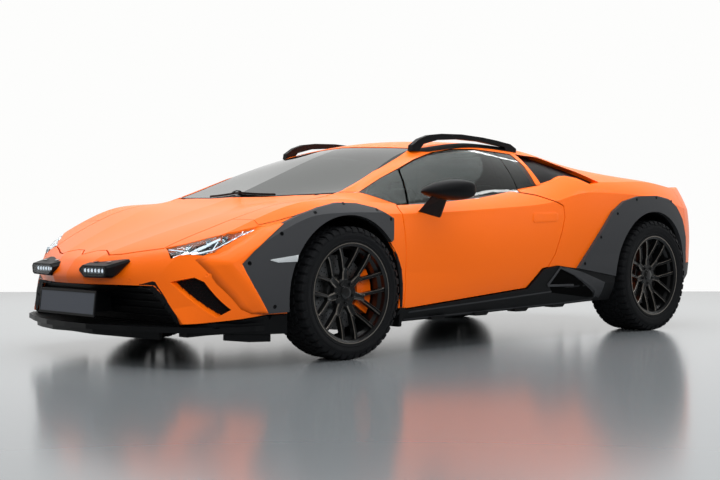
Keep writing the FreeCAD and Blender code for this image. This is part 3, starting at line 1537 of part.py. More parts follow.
def polygon_disc(radius, low_y, high_y, sides):
    """Many-sided disc about the wheel axis."""
    corners = [rim_point(radius, low_y, index, sides) for index in range(sides)]
    return extrude(corners, Vector(0, high_y - low_y, 0))


def wheel_ring(outer, inner, low_y, high_y):
    """Plain many-sided ring about the wheel axis."""
    ring = polygon_disc(outer, low_y, high_y, wheel_sides)
    if inner:
        ring = ring.cut(polygon_disc(inner, low_y - seam, high_y + seam, wheel_sides))
    return ring


def make_tyre(radius, width):
    """Tyre carcass with rounded shoulders and two grooves round the tread."""
    half = width / 2
    bead = bead_radius + seat_gap
    wall = half * tyre_bead_share
    tread = half * tyre_tread_share
    outer = [(bead, wall), (bead + tyre_wall_rise, half), (radius - tyre_wall_drop, half),
             (radius - seam, tread)]
    edge = tread_groove_width / 2
    grooves = []
    for middle in (tread_groove_y, -tread_groove_y):
        grooves += [(radius, middle + edge), (radius - tread_groove_depth, middle), (radius, middle - edge)]
    far = [(r, -y) for r, y in reversed(outer)]
    crown = radius - tyre_crown
    inner = [(bead, tyre_bead_thickness - wall), (crown, tyre_crown / 2 - tread),
             (crown, tread - tyre_crown / 2),
             (bead, wall - tyre_bead_thickness)]
    return faceted_ring(outer + grooves + far + inner, wheel_sides)


def rim_barrel(rim_width):
    """Rim barrel with its flanges, bead seats and drop centre."""
    half = rim_width / 2
    drop = half - bead_width - drop_slope
    outer = [(rim_radius, half), (bead_radius, half - flange_width), (bead_radius, half - bead_width),
             (drop_radius, drop), (drop_radius, -drop), (bead_radius, bead_width - half),
             (bead_radius, flange_width - half), (rim_radius, -half)]
    inner = [(bead_radius - rim_wall, -half), (drop_radius - rim_wall, -drop),
             (drop_radius - rim_wall, drop),
             (bead_radius - rim_wall, half - flange_width)]
    return faceted_ring(outer + inner, wheel_sides)


def spoke_bars():
    """Outlines of one upright spoke: its stem and the two arms of its fork."""
    stem_half = spoke_stem_width / 2
    waist = spoke_waist_half_width
    bars = [[(-stem_half, spoke_foot_radius), (stem_half, spoke_foot_radius), (waist, spoke_fork_radius),
             (-waist, spoke_fork_radius)]]
    half = spoke_arm_width / 2
    spread = math.radians(spoke_half_spread)
    for side in (-1, 1):
        foot = side * (waist - half)
        end = side * spoke_reach * math.sin(spread)
        top = spoke_reach * math.cos(spread)
        bars.append([(foot - half, spoke_fork_radius - spoke_arm_width),
                     (foot + half, spoke_fork_radius - spoke_arm_width), (end + half, top), (end - half,
                                                                                             top)])
    return bars


def spoke_profile(shift):
    """Dished side outline of a spoke, as a slab across it."""
    places = [Vector(-bead_radius / 2, y + shift, z) for z, y in spoke_side_points]
    return extrude(places, Vector(bead_radius, 0, 0))


def make_spokes(shift):
    """All forked spokes of one wheel."""
    limit = polygon_disc(bead_radius - rim_wall / 3, 0.0, bead_radius, wheel_sides)
    profile = spoke_profile(shift)
    bars = [extrude([Vector(x, 0, z) for x, z in bar], Vector(0, bead_radius, 0)) for bar in spoke_bars()]
    blank = join(bars).common(profile)
    spokes = []
    for index in range(spoke_count):
        spoke = blank.copy()
        spoke.rotate(Vector(0, 0, 0), Vector(0, 1, 0), full_turn * index / spoke_count)
        spokes.append(spoke.common(limit))
    return spokes


def make_rim(rim_width, shift):
    """Wheel with forked spokes, hub pad and blank centre cap."""
    hub = polygon_disc(wheel_hub_radius, hub_back + shift, hub_face + shift, wheel_sides)
    cap = polygon_disc(cap_radius, hub_face + shift - seam, hub_face + shift + cap_height, cap_sides)
    whole = join([rim_barrel(rim_width), hub, cap] + make_spokes(shift))
    bore_depth = hub_face - hub_back - cap_height
    bore = cylinder(hub_bore_radius, Vector(0, hub_back + shift - seam, 0), Vector(0, bore_depth + seam, 0))
    return largest(whole.cut(bore))


def make_disc(shift):
    """Brake disc with its hat, bolted behind the hub pad."""
    back = disc_face - disc_thickness + shift
    ring = wheel_ring(disc_radius, disc_hat_radius - disc_hat_wall, back, disc_face + shift)
    hat_top = hub_back - seat_gap + shift
    hat = wheel_ring(disc_hat_radius, disc_hat_radius - disc_hat_wall, back, hat_top)
    top = wheel_ring(disc_hat_radius, hub_bore_radius + seam, hat_top - disc_hat_wall, hat_top)
    return join([ring, hat, top])


def wheel_sector(outer, inner, low_y, high_y, half_angle, turn):
    """Sector of a ring about the wheel axis, centred on a direction."""
    ring = wheel_ring(outer, inner, low_y, high_y)
    reach = outer * 2
    across = reach * math.tan(math.radians(half_angle))
    wedge = extrude([Vector(0, low_y - seam, 0), Vector(reach, low_y - seam, across),
                     Vector(reach, low_y - seam, -across)], Vector(0, high_y - low_y + seam * 2, 0))
    sector = ring.common(wedge)
    sector.rotate(Vector(0, 0, 0), Vector(0, 1, 0), turn)
    return sector


def make_caliper(shift, turn):
    """Caliper that straddles the disc; turn 0 points it forward."""
    inner_face = disc_face - disc_thickness - caliper_disc_gap + shift
    outer_face = disc_face + caliper_disc_gap + shift
    blank = wheel_sector(caliper_outer_radius, caliper_inner_radius, inner_face - caliper_wall,
                         outer_face + caliper_wall, caliper_half_angle, turn)
    slot = wheel_ring(disc_radius + caliper_disc_gap, disc_radius / 3, inner_face, outer_face)
    return largest(blank.cut(slot))


def make_knuckle(shift, side_x):
    """Upright with the stub axle, joint pins and the caliper lug."""
    outer = knuckle_outer_y + shift
    inner = knuckle_inner_y + shift
    top = upper_joint_rise - arm_thickness / 2 - arm_clearance
    foot = -lower_joint_drop + arm_thickness / 2 + arm_clearance
    bar = box(-knuckle_half_length, knuckle_half_length, inner, outer, foot, top)
    bearing = polygon_disc(bearing_radius, inner, outer, cap_sides)
    spindle_end = hub_face - cap_height * 2 + shift
    spindle = cylinder(hub_bore_radius - spindle_play, Vector(0, outer - seam, 0),
                       Vector(0, spindle_end - outer + seam, 0))
    pin = cylinder(kingpin_radius, Vector(0, knuckle_y + shift, -lower_joint_drop - arm_thickness / 2),
                   Vector(0, 0, upper_joint_rise + lower_joint_drop + arm_thickness))
    lug_end = caliper_inner_radius + caliper_wall
    lug = box(0.0, lug_end, inner,
              disc_face - disc_thickness - caliper_disc_gap + shift - caliper_wall - seat_gap,
              -caliper_lug_width / 2, caliper_lug_width / 2)
    if side_x < 0:
        lug = lug.mirror(Vector(0, 0, 0), Vector(1, 0, 0))
    return join([bar, bearing, spindle, pin, lug])


def arm_outline(tip_y, foot_y, half_spread):
    """Triangular arm seen from above, its tip at the joint, with an open middle."""
    outer = [Vector(-half_spread, foot_y, 0), Vector(-arm_tip_half_width, tip_y + arm_tip_reach, 0),
             Vector(arm_tip_half_width, tip_y + arm_tip_reach, 0), Vector(half_spread, foot_y, 0)]
    inner_y = tip_y - arm_eye_depth
    inner = [Vector(-half_spread + arm_bar_width * 1.3, foot_y - seam, 0), Vector(0, inner_y, 0),
             Vector(half_spread - arm_bar_width * 1.3, foot_y - seam, 0)]
    return outer, inner


def make_arm(tip_y, foot_y, middle_z, half_spread):
    """Suspension arm about the wheel centre's place along the car."""
    outer, inner = arm_outline(tip_y, foot_y, half_spread)
    lift = Vector(0, 0, middle_z - arm_thickness / 2)
    way = Vector(0, 0, arm_thickness)
    plate_shape = extrude([point + lift for point in outer], way)
    hole = extrude([point + lift for point in inner], way)
    eye_start = Vector(0, tip_y, middle_z - arm_thickness)
    eye = cylinder(kingpin_radius + kingpin_play, eye_start, Vector(0, 0, arm_thickness * 2))
    return plate_shape.cut(hole).cut(eye)


def make_arms(axle_x, axle_z, track, shift, depth):
    """Upper and lower arm of a left wheel."""
    tip_y = track / 2 + knuckle_y + shift
    foot_y = depth + seat_gap
    arms = []
    for height in (axle_z + upper_joint_rise, axle_z - lower_joint_drop):
        arm = make_arm(tip_y, foot_y, height, arm_half_spread)
        arm.translate(Vector(axle_x, 0, 0))
        arms.append(arm)
    return arms


def at_wheel(shape, axle_x, axle_z, track):
    """Move a wheel piece from its own centre to its place on the left."""
    placed = shape.copy()
    placed.translate(Vector(axle_x, track / 2, axle_z))
    return placed


rear_shift = (rear_rim_width - front_rim_width) / 2
front_place = (front_axle_x, front_tyre_radius, front_track)
rear_place = (rear_axle_x, rear_tyre_radius, rear_track)


def save_wheels():
    """Tyre, wheel and disc of each corner."""
    sets = (("front", front_tyre_radius, front_tyre_width, front_rim_width, 0.0, front_place),
            ("rear", rear_tyre_radius, rear_tyre_width, rear_rim_width, rear_shift, rear_place))
    for name, radius, width, rim_width, shift, place in sets:
        save_pair("tyre_" + name, at_wheel(make_tyre(radius, width), *place))
        save_pair("rim_" + name, at_wheel(make_rim(rim_width, shift), *place))
        save_pair("disc_" + name, at_wheel(make_disc(shift), *place))


def save_running_gear():
    """Uprights, calipers and arms."""
    save_pair("knuckle", at_wheel(make_knuckle(0.0, -1), *front_place))
    save_pair("caliper_front", at_wheel(make_caliper(0.0, 180.0), *front_place))
    save("front_suspension", gather(
        [shape for arm in make_arms(front_axle_x, front_tyre_radius, front_track, 0.0, arch_depth_front)
         for shape in (arm, mirrored(arm))]))
    upright = at_wheel(make_knuckle(rear_shift, 1), *rear_place)
    rear = [upright] + make_arms(rear_axle_x, rear_tyre_radius, rear_track, rear_shift, arch_depth_rear)
    save("rear_suspension", gather([shape for piece in rear for shape in (piece, mirrored(piece))]))
    save("rear_calipers", both(at_wheel(make_caliper(rear_shift, 0.0), *rear_place)))


def save_frame():
    """Floor, walls, ribs, rails, sills and housings that carry the rest."""
    rooms = frame_rooms()
    save("floor_pan", make_floor_pan(rooms))
    save("bulkheads", make_bulkheads(rooms))
    save("cross_ribs", make_cross_ribs(rooms))
    save("long_members", make_long_members(rooms))
    save("sills", make_sills(rooms))
    save("wheel_housings", make_wheel_housings(rooms))
    save("luggage_box", make_luggage_box(rooms))


def save_body():
    """Panels, glass and dark pieces of the body."""
    save("scuttle", make_scuttle())
    save("intake_panels", make_intake_panels())
    save("front_bumper", make_front_bumper())
    save("front_grille", make_front_grille())
    save("front_chin", make_chin())
    save_pair("fender", make_fender())
    save("headlamps", make_headlamps())
    save("aux_lamps", make_aux_lamps())
    save("windscreen", make_windscreen())
    save("roof_frame", make_roof_frame())
    save_pair("quarter", make_quarter())
    save("fixed_glass", make_fixed_glass())
    save("tail_shell", make_tail())
    save("tail_panel", make_tail_panel())
    save("tail_lamps", make_tail_lamps())
    save("diffuser", make_diffuser())
    save("exhausts", make_exhausts())
    save("engine_block", make_engine_block())
    save("side_skirts", both(make_skirt()))
    save("arch_flares", make_arch_flares())
    save("roof_rails", make_roof_rails())
    save("seats", both(make_seat()))
    save("dashboard", make_dashboard())
    save("steering_wheel", make_steering_wheel())


def save_moving_panels():
    """Doors with their glass and mirrors, and the two lids."""
    save_pair("door", make_door())
    save_pair("door_glass", make_door_glass())
    save_pair("mirror", make_mirror())
    save("front_lid", make_lid())
    save("engine_cover", make_engine_cover())


os.makedirs("parts", exist_ok=True)
save_frame()
save_body()
save_moving_panels()
save_running_gear()
save_wheels()
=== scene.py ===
# Looks of a raised two-seat supercar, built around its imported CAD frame.
# Metres. +X points forward, +Y to the car's left and +Z up; the origin is on the ground.
import bmesh
import bpy
import json
import math
from mathutils import Matrix, Vector
from mathutils.bvhtree import BVHTree
from bpy.props import BoolProperty, FloatProperty, FloatVectorProperty, IntProperty, PointerProperty


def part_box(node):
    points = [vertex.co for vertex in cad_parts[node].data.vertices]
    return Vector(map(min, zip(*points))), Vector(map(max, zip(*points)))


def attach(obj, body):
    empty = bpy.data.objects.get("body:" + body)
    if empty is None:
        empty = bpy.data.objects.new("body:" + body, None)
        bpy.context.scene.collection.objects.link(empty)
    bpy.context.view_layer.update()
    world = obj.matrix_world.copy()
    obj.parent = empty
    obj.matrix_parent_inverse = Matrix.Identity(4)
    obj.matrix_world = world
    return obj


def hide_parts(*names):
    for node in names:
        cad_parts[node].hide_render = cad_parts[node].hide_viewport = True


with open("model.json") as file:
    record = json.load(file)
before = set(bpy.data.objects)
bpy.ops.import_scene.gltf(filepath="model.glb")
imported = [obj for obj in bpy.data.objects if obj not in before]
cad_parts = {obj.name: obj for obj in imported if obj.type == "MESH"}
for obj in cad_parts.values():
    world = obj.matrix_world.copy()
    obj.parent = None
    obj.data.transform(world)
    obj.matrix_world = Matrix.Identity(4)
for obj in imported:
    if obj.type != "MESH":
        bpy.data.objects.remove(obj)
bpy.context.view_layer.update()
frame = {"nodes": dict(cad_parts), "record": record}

bl_info = {
    "name": "Raised supercar looks",
    "version": (1, 0, 0),
    "blender": (4, 5, 0),
    "location": "View3D > Sidebar > Supercar",
    "description": "Adds finishes, tyres, wheels, lamps, trim and seats to the car's frame",
    "category": "Object",
}

MM = 0.001
SIDES = {"left": 1, "right": -1}
CORNERS = {
    "front_left": ("front", 1), "front_right": ("front", -1),
    "rear_left": ("rear", 1), "rear_right": ("rear", -1),
}
# Wheel centres as place along, half track and height in millimetres
WHEEL_PLACES = {"front": (1194.5, 849, 335), "rear": (-1434.5, 827, 355)}
RIM_HALF_WIDTHS = {"front": 111, "rear": 136}

# Camera that stands where the photograph was taken
CAMERA_PLACE = (5.27961, 5.47921, 0.65832)
CAMERA_RIGHT = (-0.737549, 0.675293, -0.000740)
CAMERA_UP = (-0.006855, -0.006390, 0.999956)
CAMERA_LENS = 60.886
CAMERA_SENSOR = 36.0

# Outlines seen from above, x and y in millimetres, on the left of the car
HEADLAMP_OUTLINE = ((2014.7, 532), (1961.3, 623), (1891.9, 705.1), (1854.5, 758), (1791.5, 801), (1685.8, 850.9),
                    (1754.1, 839.1), (1847, 811.7), (1909, 786.3), (1949.6, 746.2), (2040.4, 613.2))
# Light bars: width, then the points of each bar
RUNNING_LIGHTS = (
    (4.5, ((2016, 556), (2007, 607), (1996, 662), (1984, 694))),
    (4.5, ((1962, 668), (1993, 668), (2013, 655))),
    (8, ((1866, 770), (1927, 738), (1985, 692))),
    (3.5, ((2034, 616), (2011, 653), (1985, 691), (1952, 733), (1915, 769), (1893, 784),
           (1838, 808), (1782, 824), (1719, 843))),
    (4, ((1880, 770), (1914, 771))),
    (4, ((1752, 806), (1782, 823))))
LAMP_BARREL_PLACES = ((1963, 648), (1900, 728), (1842, 778))
BOWL_DEPTH = 20.0
# Housing floor: the middle it is drawn in to, its share of the outline, how deep it lies and its cell
HEADLAMP_MIDDLE = (1868, 730)
HOUSING_SHARE = 0.988
HOUSING_DROP = 24.0
HEADLAMP_CELL = 14.0
# Light bars under the cover
LIGHT_DROP = 3.4
LIGHT_THICKNESS = 0.8

# Outlines seen from the side, x and z in millimetres
MARKER_OUTLINE = ((1700, 508), (1690, 513), (1538, 532), (1545, 499), (1656, 497))
HANDLE_OUTLINE = ((-275, 703), (-282, 741), (-300, 752), (-480, 757), (-503, 745), (-500, 715), (-484, 700),
                  (-290, 690))
SCOOP_OUTLINE = ((-404, 329), (-500, 416), (-626, 375), (-833, 276), (-858, 238), (-805, 236), (-446, 277))
SCOOP_FRAME = ((-392, 322), (-496, 426), (-641, 377), (-850, 281), (-872, 238))
SCOOP_VANE = ((-394, 321), (-628, 317))
SILL_LINES = (((732, 215), (414, 234), (3, 256), (-440, 284)),
              ((731, 173), (64, 190), (-564, 207), (-864, 221), (-893, 250), (-930, 260)))
SKIRT_PANEL = ((-520, 428), (-560, 424), (-700, 395), (-850, 350), (-926, 326), (-930, 226), (-890, 240), (-866, 284),
               (-720, 354), (-604, 402))
# Black edge of the front wheel arch behind the tyre
ARCH_EDGE = ((898, 591), (834, 520), (798, 444), (789, 368), (786, 302), (784, 244), (803, 244), (811, 351),
             (822, 426), (847, 511), (884, 584))
FRONT_BOLTS = ((1625, 635), (1805, 496), (1669, 287), (1414, 738), (1208, 785), (987, 756), (891, 708))
REAR_BOLTS = ((-1242, 842), (-1465, 858), (-1655, 836), (-1034, 751), (-863, 605), (-716, 445))
SILL_FIN_PLACES = (475, 124, -225, -569)
# Flap behind the front tyre seen from the front, y and z
ARCH_FLAP = ((800, 140), (884, 140), (892, 200), (892, 300), (880, 560), (800, 560))
# Front corner of the flare: where the dark plastic starts, the flare's own edge, and the way out from it
CORNER_START = ((1600, 681), (1658, 641), (1715, 600), (1778, 552), (1840, 493), (1823, 449), (1789, 384),
                (1748, 321), (1703, 257))
CORNER_EDGE = ((1599, 682), (1672.8, 633.9), (1740.8, 589.5), (1814.8, 541.3), (1887.5, 493), (1855.6, 445.2),
               (1814.1, 385.5), (1772.7, 325.7), (1724, 257))
CORNER_WAYS = ((3.3, 5), (22, 33), (30, 42), (40, 45), (90, 18), (74, -46), (68, -47), (66, -45), (64, 0))
CORNER_LAPS = (0.06, 0.3, 0.6, 1)
# Share of the way to the flare's edge that still has the flare under it, lift off the flare, and how fast it fades
CORNER_REACH = 0.97
CORNER_LIFT = 2.5
CORNER_FADE = 1.4
# Lower corner of the nose: x, outer y, low z and high z of each section
CHIN_END = ((1562, 899, 150, 250), (1665, 889, 152, 243), (1780, 869, 157, 235), (1890, 842, 162, 224),
            (1960, 800, 158, 214), (2020, 715, 145, 204))
# Lip under the chin: sections each side of the middle and their pitch, top and ends' low edge, how much the middle
# is higher, and how far it sits behind the chin's front
LIP_STEPS = 12
LIP_PITCH = 50.0
LIP_TOP = 185.0
LIP_LOW = 134.0
LIP_RISE = 12.0
LIP_SETBACK = 45.0
CHIN_STRAKE = ((1640, 868, 114), (1760, 856, 118), (1888, 832, 132))

# Outlines seen from the front, y and z in millimetres, on the left of the car
VENT_OUTLINE = ((640.6, 406.8), (741.3, 429.6), (783.4, 409.2), (870.4, 278.4), (829.3, 241.2), (804.9, 265.2))
SENSOR_PLACES = ((788, 439), (420, 412))
# Black corner of the nose opening: a dark plate on the paint that widens the opening, for its black plastic inside and
# the painted shade of its depth
OPENING_BLACK_AND_SHADE = ((430, 379), (552, 409), (568, 406), (618, 347), (660, 288), (691, 250), (704, 212), (684, 206),
                (629, 270), (570, 330), (528, 367), (430, 373))
# Blank plate: half width, lower and upper edge, and how far it leans back in degrees
PLATE_HALF_WIDTH = 272.0
PLATE_LOW = 236.0
PLATE_HIGH = 352.0
PLATE_LEAN = 6.0
# Nose lamp seen from the front: y and z at its face, behind its edge and where it meets the nose
LAMP_FRONT = ((104, 452), (150, 421), (322, 425), (340, 434), (347, 468), (334, 481), (132, 481), (104, 464))
LAMP_MIDDLE = ((100, 455), (152, 417), (328, 421), (350, 430), (356, 478), (343, 491), (122, 490), (98, 472))
LAMP_REAR = ((90, 470), (140, 440), (270, 445), (305, 450), (368, 502), (358, 512), (99, 508), (88, 492))
LAMP_FRONT_X = 2253.0
LAMP_REAR_X = 2134.0
LAMP_SHIFT = 27.0
LAMP_WINDOW_DEPTH = 16.0
NOSE_LAMP_MIDDLE = (225, 452)
NOSE_LAMP_LEAN = 0.045
# Reflector cells: places across, height, and rings of depth, half width and half height
LAMP_CELL_PLACES = (142, 172, 202, 232, 262, 292)
LAMP_CELL_HEIGHT = 455.5
LAMP_CELL_RINGS = ((0.5, 14.2, 14), (5, 14.2, 14), (5.5, 13, 12.6), (1.2, 6, 5), (2.8, 3.5, 3))
EMITTER_RADIUS = 8.0
LAMP_GLOW = 1.1
# Slots in the top of the housing: places across and half width
LAMP_SLOT_PLACES = (170, 290)
LAMP_SLOT_HALF = 16.0
TAIL_OUTLINE = ((0, 897), (540, 893), (625, 795), (612, 652), (490, 578), (0, 578))

# Pipes: rear end, place across and height
PIPE_END = -2232.0
PIPE_REACH = 190.0
PIPE_HEIGHT = 590.0

# Mirror head: place across, rear and front ends, lower and upper edges of each section
MIRROR_SECTIONS = ((896, 520, 640, 838, 872), (905, 478, 665, 826, 893), (925, 448, 680, 816, 908),
                   (960, 430, 688, 807, 921), (1020, 415, 655, 805, 925), (1068, 403, 575, 817, 916),
                   (1087, 404, 490, 838, 897))
MIRROR_OUTLINE = ((0, 0.20), (0, 0.80), (0.12, 0.97), (0.45, 1), (0.80, 0.80), (1, 0.45), (0.90, 0.25), (0.50, 0.03),
                  (0.12, 0.02))
MIRROR_FOOT = ((655, 752), (492, 712), (476, 724), (545, 775))
MIRROR_NECK = ((625, 846), (520, 838), (512, 852), (615, 868))
MIRROR_STALK_REACH = (889, 985)
# Mirror glass seen from behind: middle, half size, and an exponent that squares its rounded outline
GLASS_MIDDLE = (996, 864)
GLASS_HALF_SIZE = (70, 42)
GLASS_SQUARENESS = 0.55

# Wiper blade: place along at the middle of the car and how it bows back towards its ends
WIPER_PLACE = 1178.0
WIPER_BOW = 0.00021

# Seat cushion and back: paths along the middle of the pad, x and z
SEAT_BASE_PATH = ((128, 372), (60, 378), (-60, 360), (-170, 345), (-262, 345))
SEAT_BACK_PATH = ((-335, 420), (-375, 520), (-405, 640), (-425, 760), (-436, 860), (-446, 930))
SEAT_SIDE_PATH = ((95, 395), (20, 420), (-120, 410), (-240, 430), (-320, 540), (-365, 660), (-395, 745))
SEAT_PLACE = 370.0
# How far the middle of a pad stands up, as a share of its thickness, and how far out the bolsters sit
PAD_CROWN = 0.22
BOLSTER_CROWN = 0.10
BOLSTER_REACH = 196.0
# Seat shell: x, z and half width of each section
SEAT_SHELL = ((150, 300, 170), (60, 300, 200), (-200, 285, 215), (-360, 330, 222), (-440, 480, 224), (-462, 700, 216),
              (-474, 860, 160), (-478, 965, 110))

# Tyre blocks: how much they narrow towards their face, and how far their ends drop
BLOCK_TAPER = 0.92
BLOCK_EDGE_DROP = 1.6
# Wheel profiles as radius and place along the axle, outer face towards +
SPOKE_FRONT = ((52, 60), (72, 60), (92, 56), (120, 66), (150, 77), (190, 89), (226, 97), (243, 97))
SPOKE_BACK = ((52, 30), (74, 30), (120, 36), (150, 43), (190, 56), (226, 68), (243, 73))
HUB_PROFILE = ((0.01, 62), (38, 62), (40, 60), (66, 60), (74, 54), (76, 30), (31, 28.2), (31, 45), (0.01, 45))
CAP_PROFILE = ((0.01, 70), (20, 69.6), (29, 68.2), (32.5, 65), (33, 60.5), (0.01, 60.5))
# Bolt head as radius and rise
BOLT_HEAD = ((9.5, 0), (9.5, 6.75), (7.79, 9), (4.275, 9), (3.99, 4.95))
BOLT_CIRCLE = 52.0
BOLT_FOOT = 59.5
SPOKE_REACH = 241.0
FORK_SPREAD = 15.5
DISC_FACE = -6.0
DISC_PROFILE = ((190, -7), (189, -6), (99, -6), (97, -8), (92, -8), (91.5, 26), (90, 27.6), (34, 27.6), (34, 20),
                (84, 20), (84, -36), (97, -38), (189, -38), (190, -37), (190, -28), (182, -27), (182, -17),
                (190, -16))
HOLE_ROWS = (116, 133, 150, 167, 180)
HOLE_RADIUS = 3.4
HOLE_STAGGER = 0.31
PISTON_CIRCLE = 165.0

WIDEST_PLATE_BEVEL = 1.2
SQUARE = ((-1, -1), (1, -1), (1, 1), (-1, 1))
CLIPPED_SQUARE = ((-1, -0.7), (-0.7, -1), (0.7, -1), (1, -0.7), (1, 0.7), (0.7, 1), (-0.7, 1), (-1, 0.7))

# Half width and half depth of the floor, and the way ahead that makes the room brighter
FLOOR_HALF_SIZE = (7, 5.1)
ROOM_AHEAD = (-0.675, -0.738, 0.05)

# Finish, body and slot that several pieces share
BLACK_TRIM = ("moulded_black_polypropylene", "chassis", "moulded_plastic")
BLACK_GLOSS = ("moulded_black_polypropylene", "chassis", "gloss_black")
GREY_TRIM = ("moulded_polypropylene", "chassis", "moulded_plastic")
DARK_STEEL = ("blackened_bolt_steel", "chassis", "moulded_plastic")
PAINTED = ("lacquered_base_coat", "chassis", "orange_paint")
LAMP_CLEAR = ("clear_polycarbonate", "chassis", "lamp_glass")
LAMP_LIGHT = ("frosted_light_guide", "chassis", "lamp_glass")
LAMP_REFLECTOR = ("metallised_reflector", "chassis", "lamp_glass")


# Property groups
class SupercarColours(bpy.types.PropertyGroup):
    """Colours of the car's finishes."""
    paint: FloatVectorProperty(name="Paint", description="Body colour", subtype="COLOR_GAMMA", size=3,
                               min=0.0, max=1.0, default=(0.985, 0.425, 0.028))
    trim: FloatVectorProperty(name="Trim", description="Colour of the moulded flares and sills",
                              subtype="COLOR_GAMMA", size=3, min=0.0, max=1.0, default=(0.215, 0.220, 0.230))
    caliper: FloatVectorProperty(name="Calipers", description="Colour of the brake calipers",
                                 subtype="COLOR_GAMMA", size=3, min=0.0, max=1.0, default=(0.940, 0.400, 0.030))


class SupercarWheels(bpy.types.PropertyGroup):
    """Sizes of the tyres and wheels."""
    spokes: IntProperty(name="Spokes", description="Forked spokes of each wheel", default=7, min=3, max=12)
    shoulder_blocks: IntProperty(name="Shoulder blocks", description="Tread blocks round each tyre shoulder",
                                 default=46, min=20, max=80)
    tread_depth: FloatProperty(name="Tread depth", description="Height of the tread blocks", default=0.009,
                               min=0.002, max=0.02, unit="LENGTH")
    disc_holes: IntProperty(name="Disc holes", description="Drilled holes in each row of a brake disc",
                            default=30, min=0, max=60)


class SupercarTrim(bpy.types.PropertyGroup):
    """Sizes of the trim, and whether the lamps are lit."""
    mesh_cell: FloatProperty(name="Mesh cell", description="Width of one opening of the vent mesh", default=0.017,
                             min=0.008, max=0.04, unit="LENGTH")
    bolt_radius: FloatProperty(name="Flare bolt radius", description="Radius of the bolts on the flares",
                               default=0.010, min=0.004, max=0.02, unit="LENGTH")
    lit_lamps: BoolProperty(name="Lit lamps", description="Light the running lamps", default=True)


class SupercarStudio(bpy.types.PropertyGroup):
    """Floor and light."""
    floor: FloatVectorProperty(name="Floor", description="Floor colour", subtype="COLOR_GAMMA", size=3, min=0.0,
                               max=1.0, default=(0.465, 0.483, 0.495))
    key_power: FloatProperty(name="Ceiling light", description="Power of the broad light overhead", default=350.0,
                             min=0.0, max=5000.0, subtype="POWER")
    side_power: FloatProperty(name="Side light", description="Power of each side light", default=150.0,
                              min=0.0, max=5000.0, subtype="POWER")
    strip_power: FloatProperty(name="Strip light", description="Power of each long tube overhead", default=22.0,
                               min=0.0, max=1000.0, subtype="POWER")
    sky: FloatProperty(name="Room light", description="Strength of the light that comes from all round",
                       default=0.32, min=0.0, max=2.0)
    near_wall: FloatProperty(name="Near wall", description="Brightness of the room behind the camera",
                             default=0.13, min=0.0, max=1.0)


# Colours and nodes
finishes = {}


def linear(colour):
    """Linear colour from sRGB, given as hex text or as three numbers."""
    if isinstance(colour, str):
        colour = [int(colour[index:index + 2], 16) / 255 for index in (1, 3, 5)]
    parts = [c / 12.92 if c <= 0.04045 else ((c + 0.055) / 1.055) ** 2.4 for c in colour]
    return (parts[0], parts[1], parts[2], 1.0)


def add_node(tree, kind, settings=None, links=None):
    """Add a node, set its sockets or properties and link sockets into it."""
    node = tree.nodes.new(kind)
    for key, value in (settings or {}).items():
        if key in node.inputs:
            node.inputs[key].default_value = value
        else:
            setattr(node, key, value)
    for key, socket in (links or {}).items():
        tree.links.new(socket, node.inputs[key])
    return node


def finish(name, colour, shader, pattern=None, depth=0.0, spread=0.0, stretch=(1.0, 1.0, 1.0), rough_spread=0.0):
    """Material kept by its name, from its shader settings and a surface pattern of some millimetres."""
    material = bpy.data.materials.new(name)
    material.use_nodes = True
    tree = material.node_tree
    tree.nodes.clear()
    base = linear(colour)
    surface = add_node(tree, "ShaderNodeBsdfPrincipled", dict(shader, **{"Base Color": base}))
    add_node(tree, "ShaderNodeOutputMaterial", links={"Surface": surface.outputs["BSDF"]})
    if pattern:
        place = add_node(tree, "ShaderNodeTexCoord").outputs["Object"]
        place = add_node(tree, "ShaderNodeMapping", {"Scale": stretch}, {"Vector": place}).outputs["Vector"]
        noise = add_node(tree, "ShaderNodeTexNoise", {"Scale": 1 / (pattern * MM), "Detail": 3.0, "Roughness": 0.6},
                         {"Vector": place})
        if depth:
            bump = add_node(tree, "ShaderNodeBump", {"Strength": 1.0, "Distance": depth * MM},
                            {"Height": noise.outputs["Fac"]})
            tree.links.new(bump.outputs["Normal"], surface.inputs["Normal"])
        if spread:
            dark = [channel * (1 - spread) for channel in base[:3]] + [1.0]
            pale = [min(1.0, channel * (1 + spread)) for channel in base[:3]] + [1.0]
            mix = add_node(tree, "ShaderNodeMix", {"data_type": "RGBA"}, {0: noise.outputs["Fac"]})
            mix.inputs[6].default_value = dark
            mix.inputs[7].default_value = pale
            tree.links.new(mix.outputs[2], surface.inputs["Base Color"])
        if rough_spread:
            rough = shader["Roughness"]
            ramp = add_node(tree, "ShaderNodeMapRange",
                            {"From Min": 0.3, "From Max": 0.7, "To Min": rough - rough_spread,
                             "To Max": rough + rough_spread}, {"Value": noise.outputs["Fac"]})
            tree.links.new(ramp.outputs["Result"], surface.inputs["Roughness"])
    finishes[name] = material


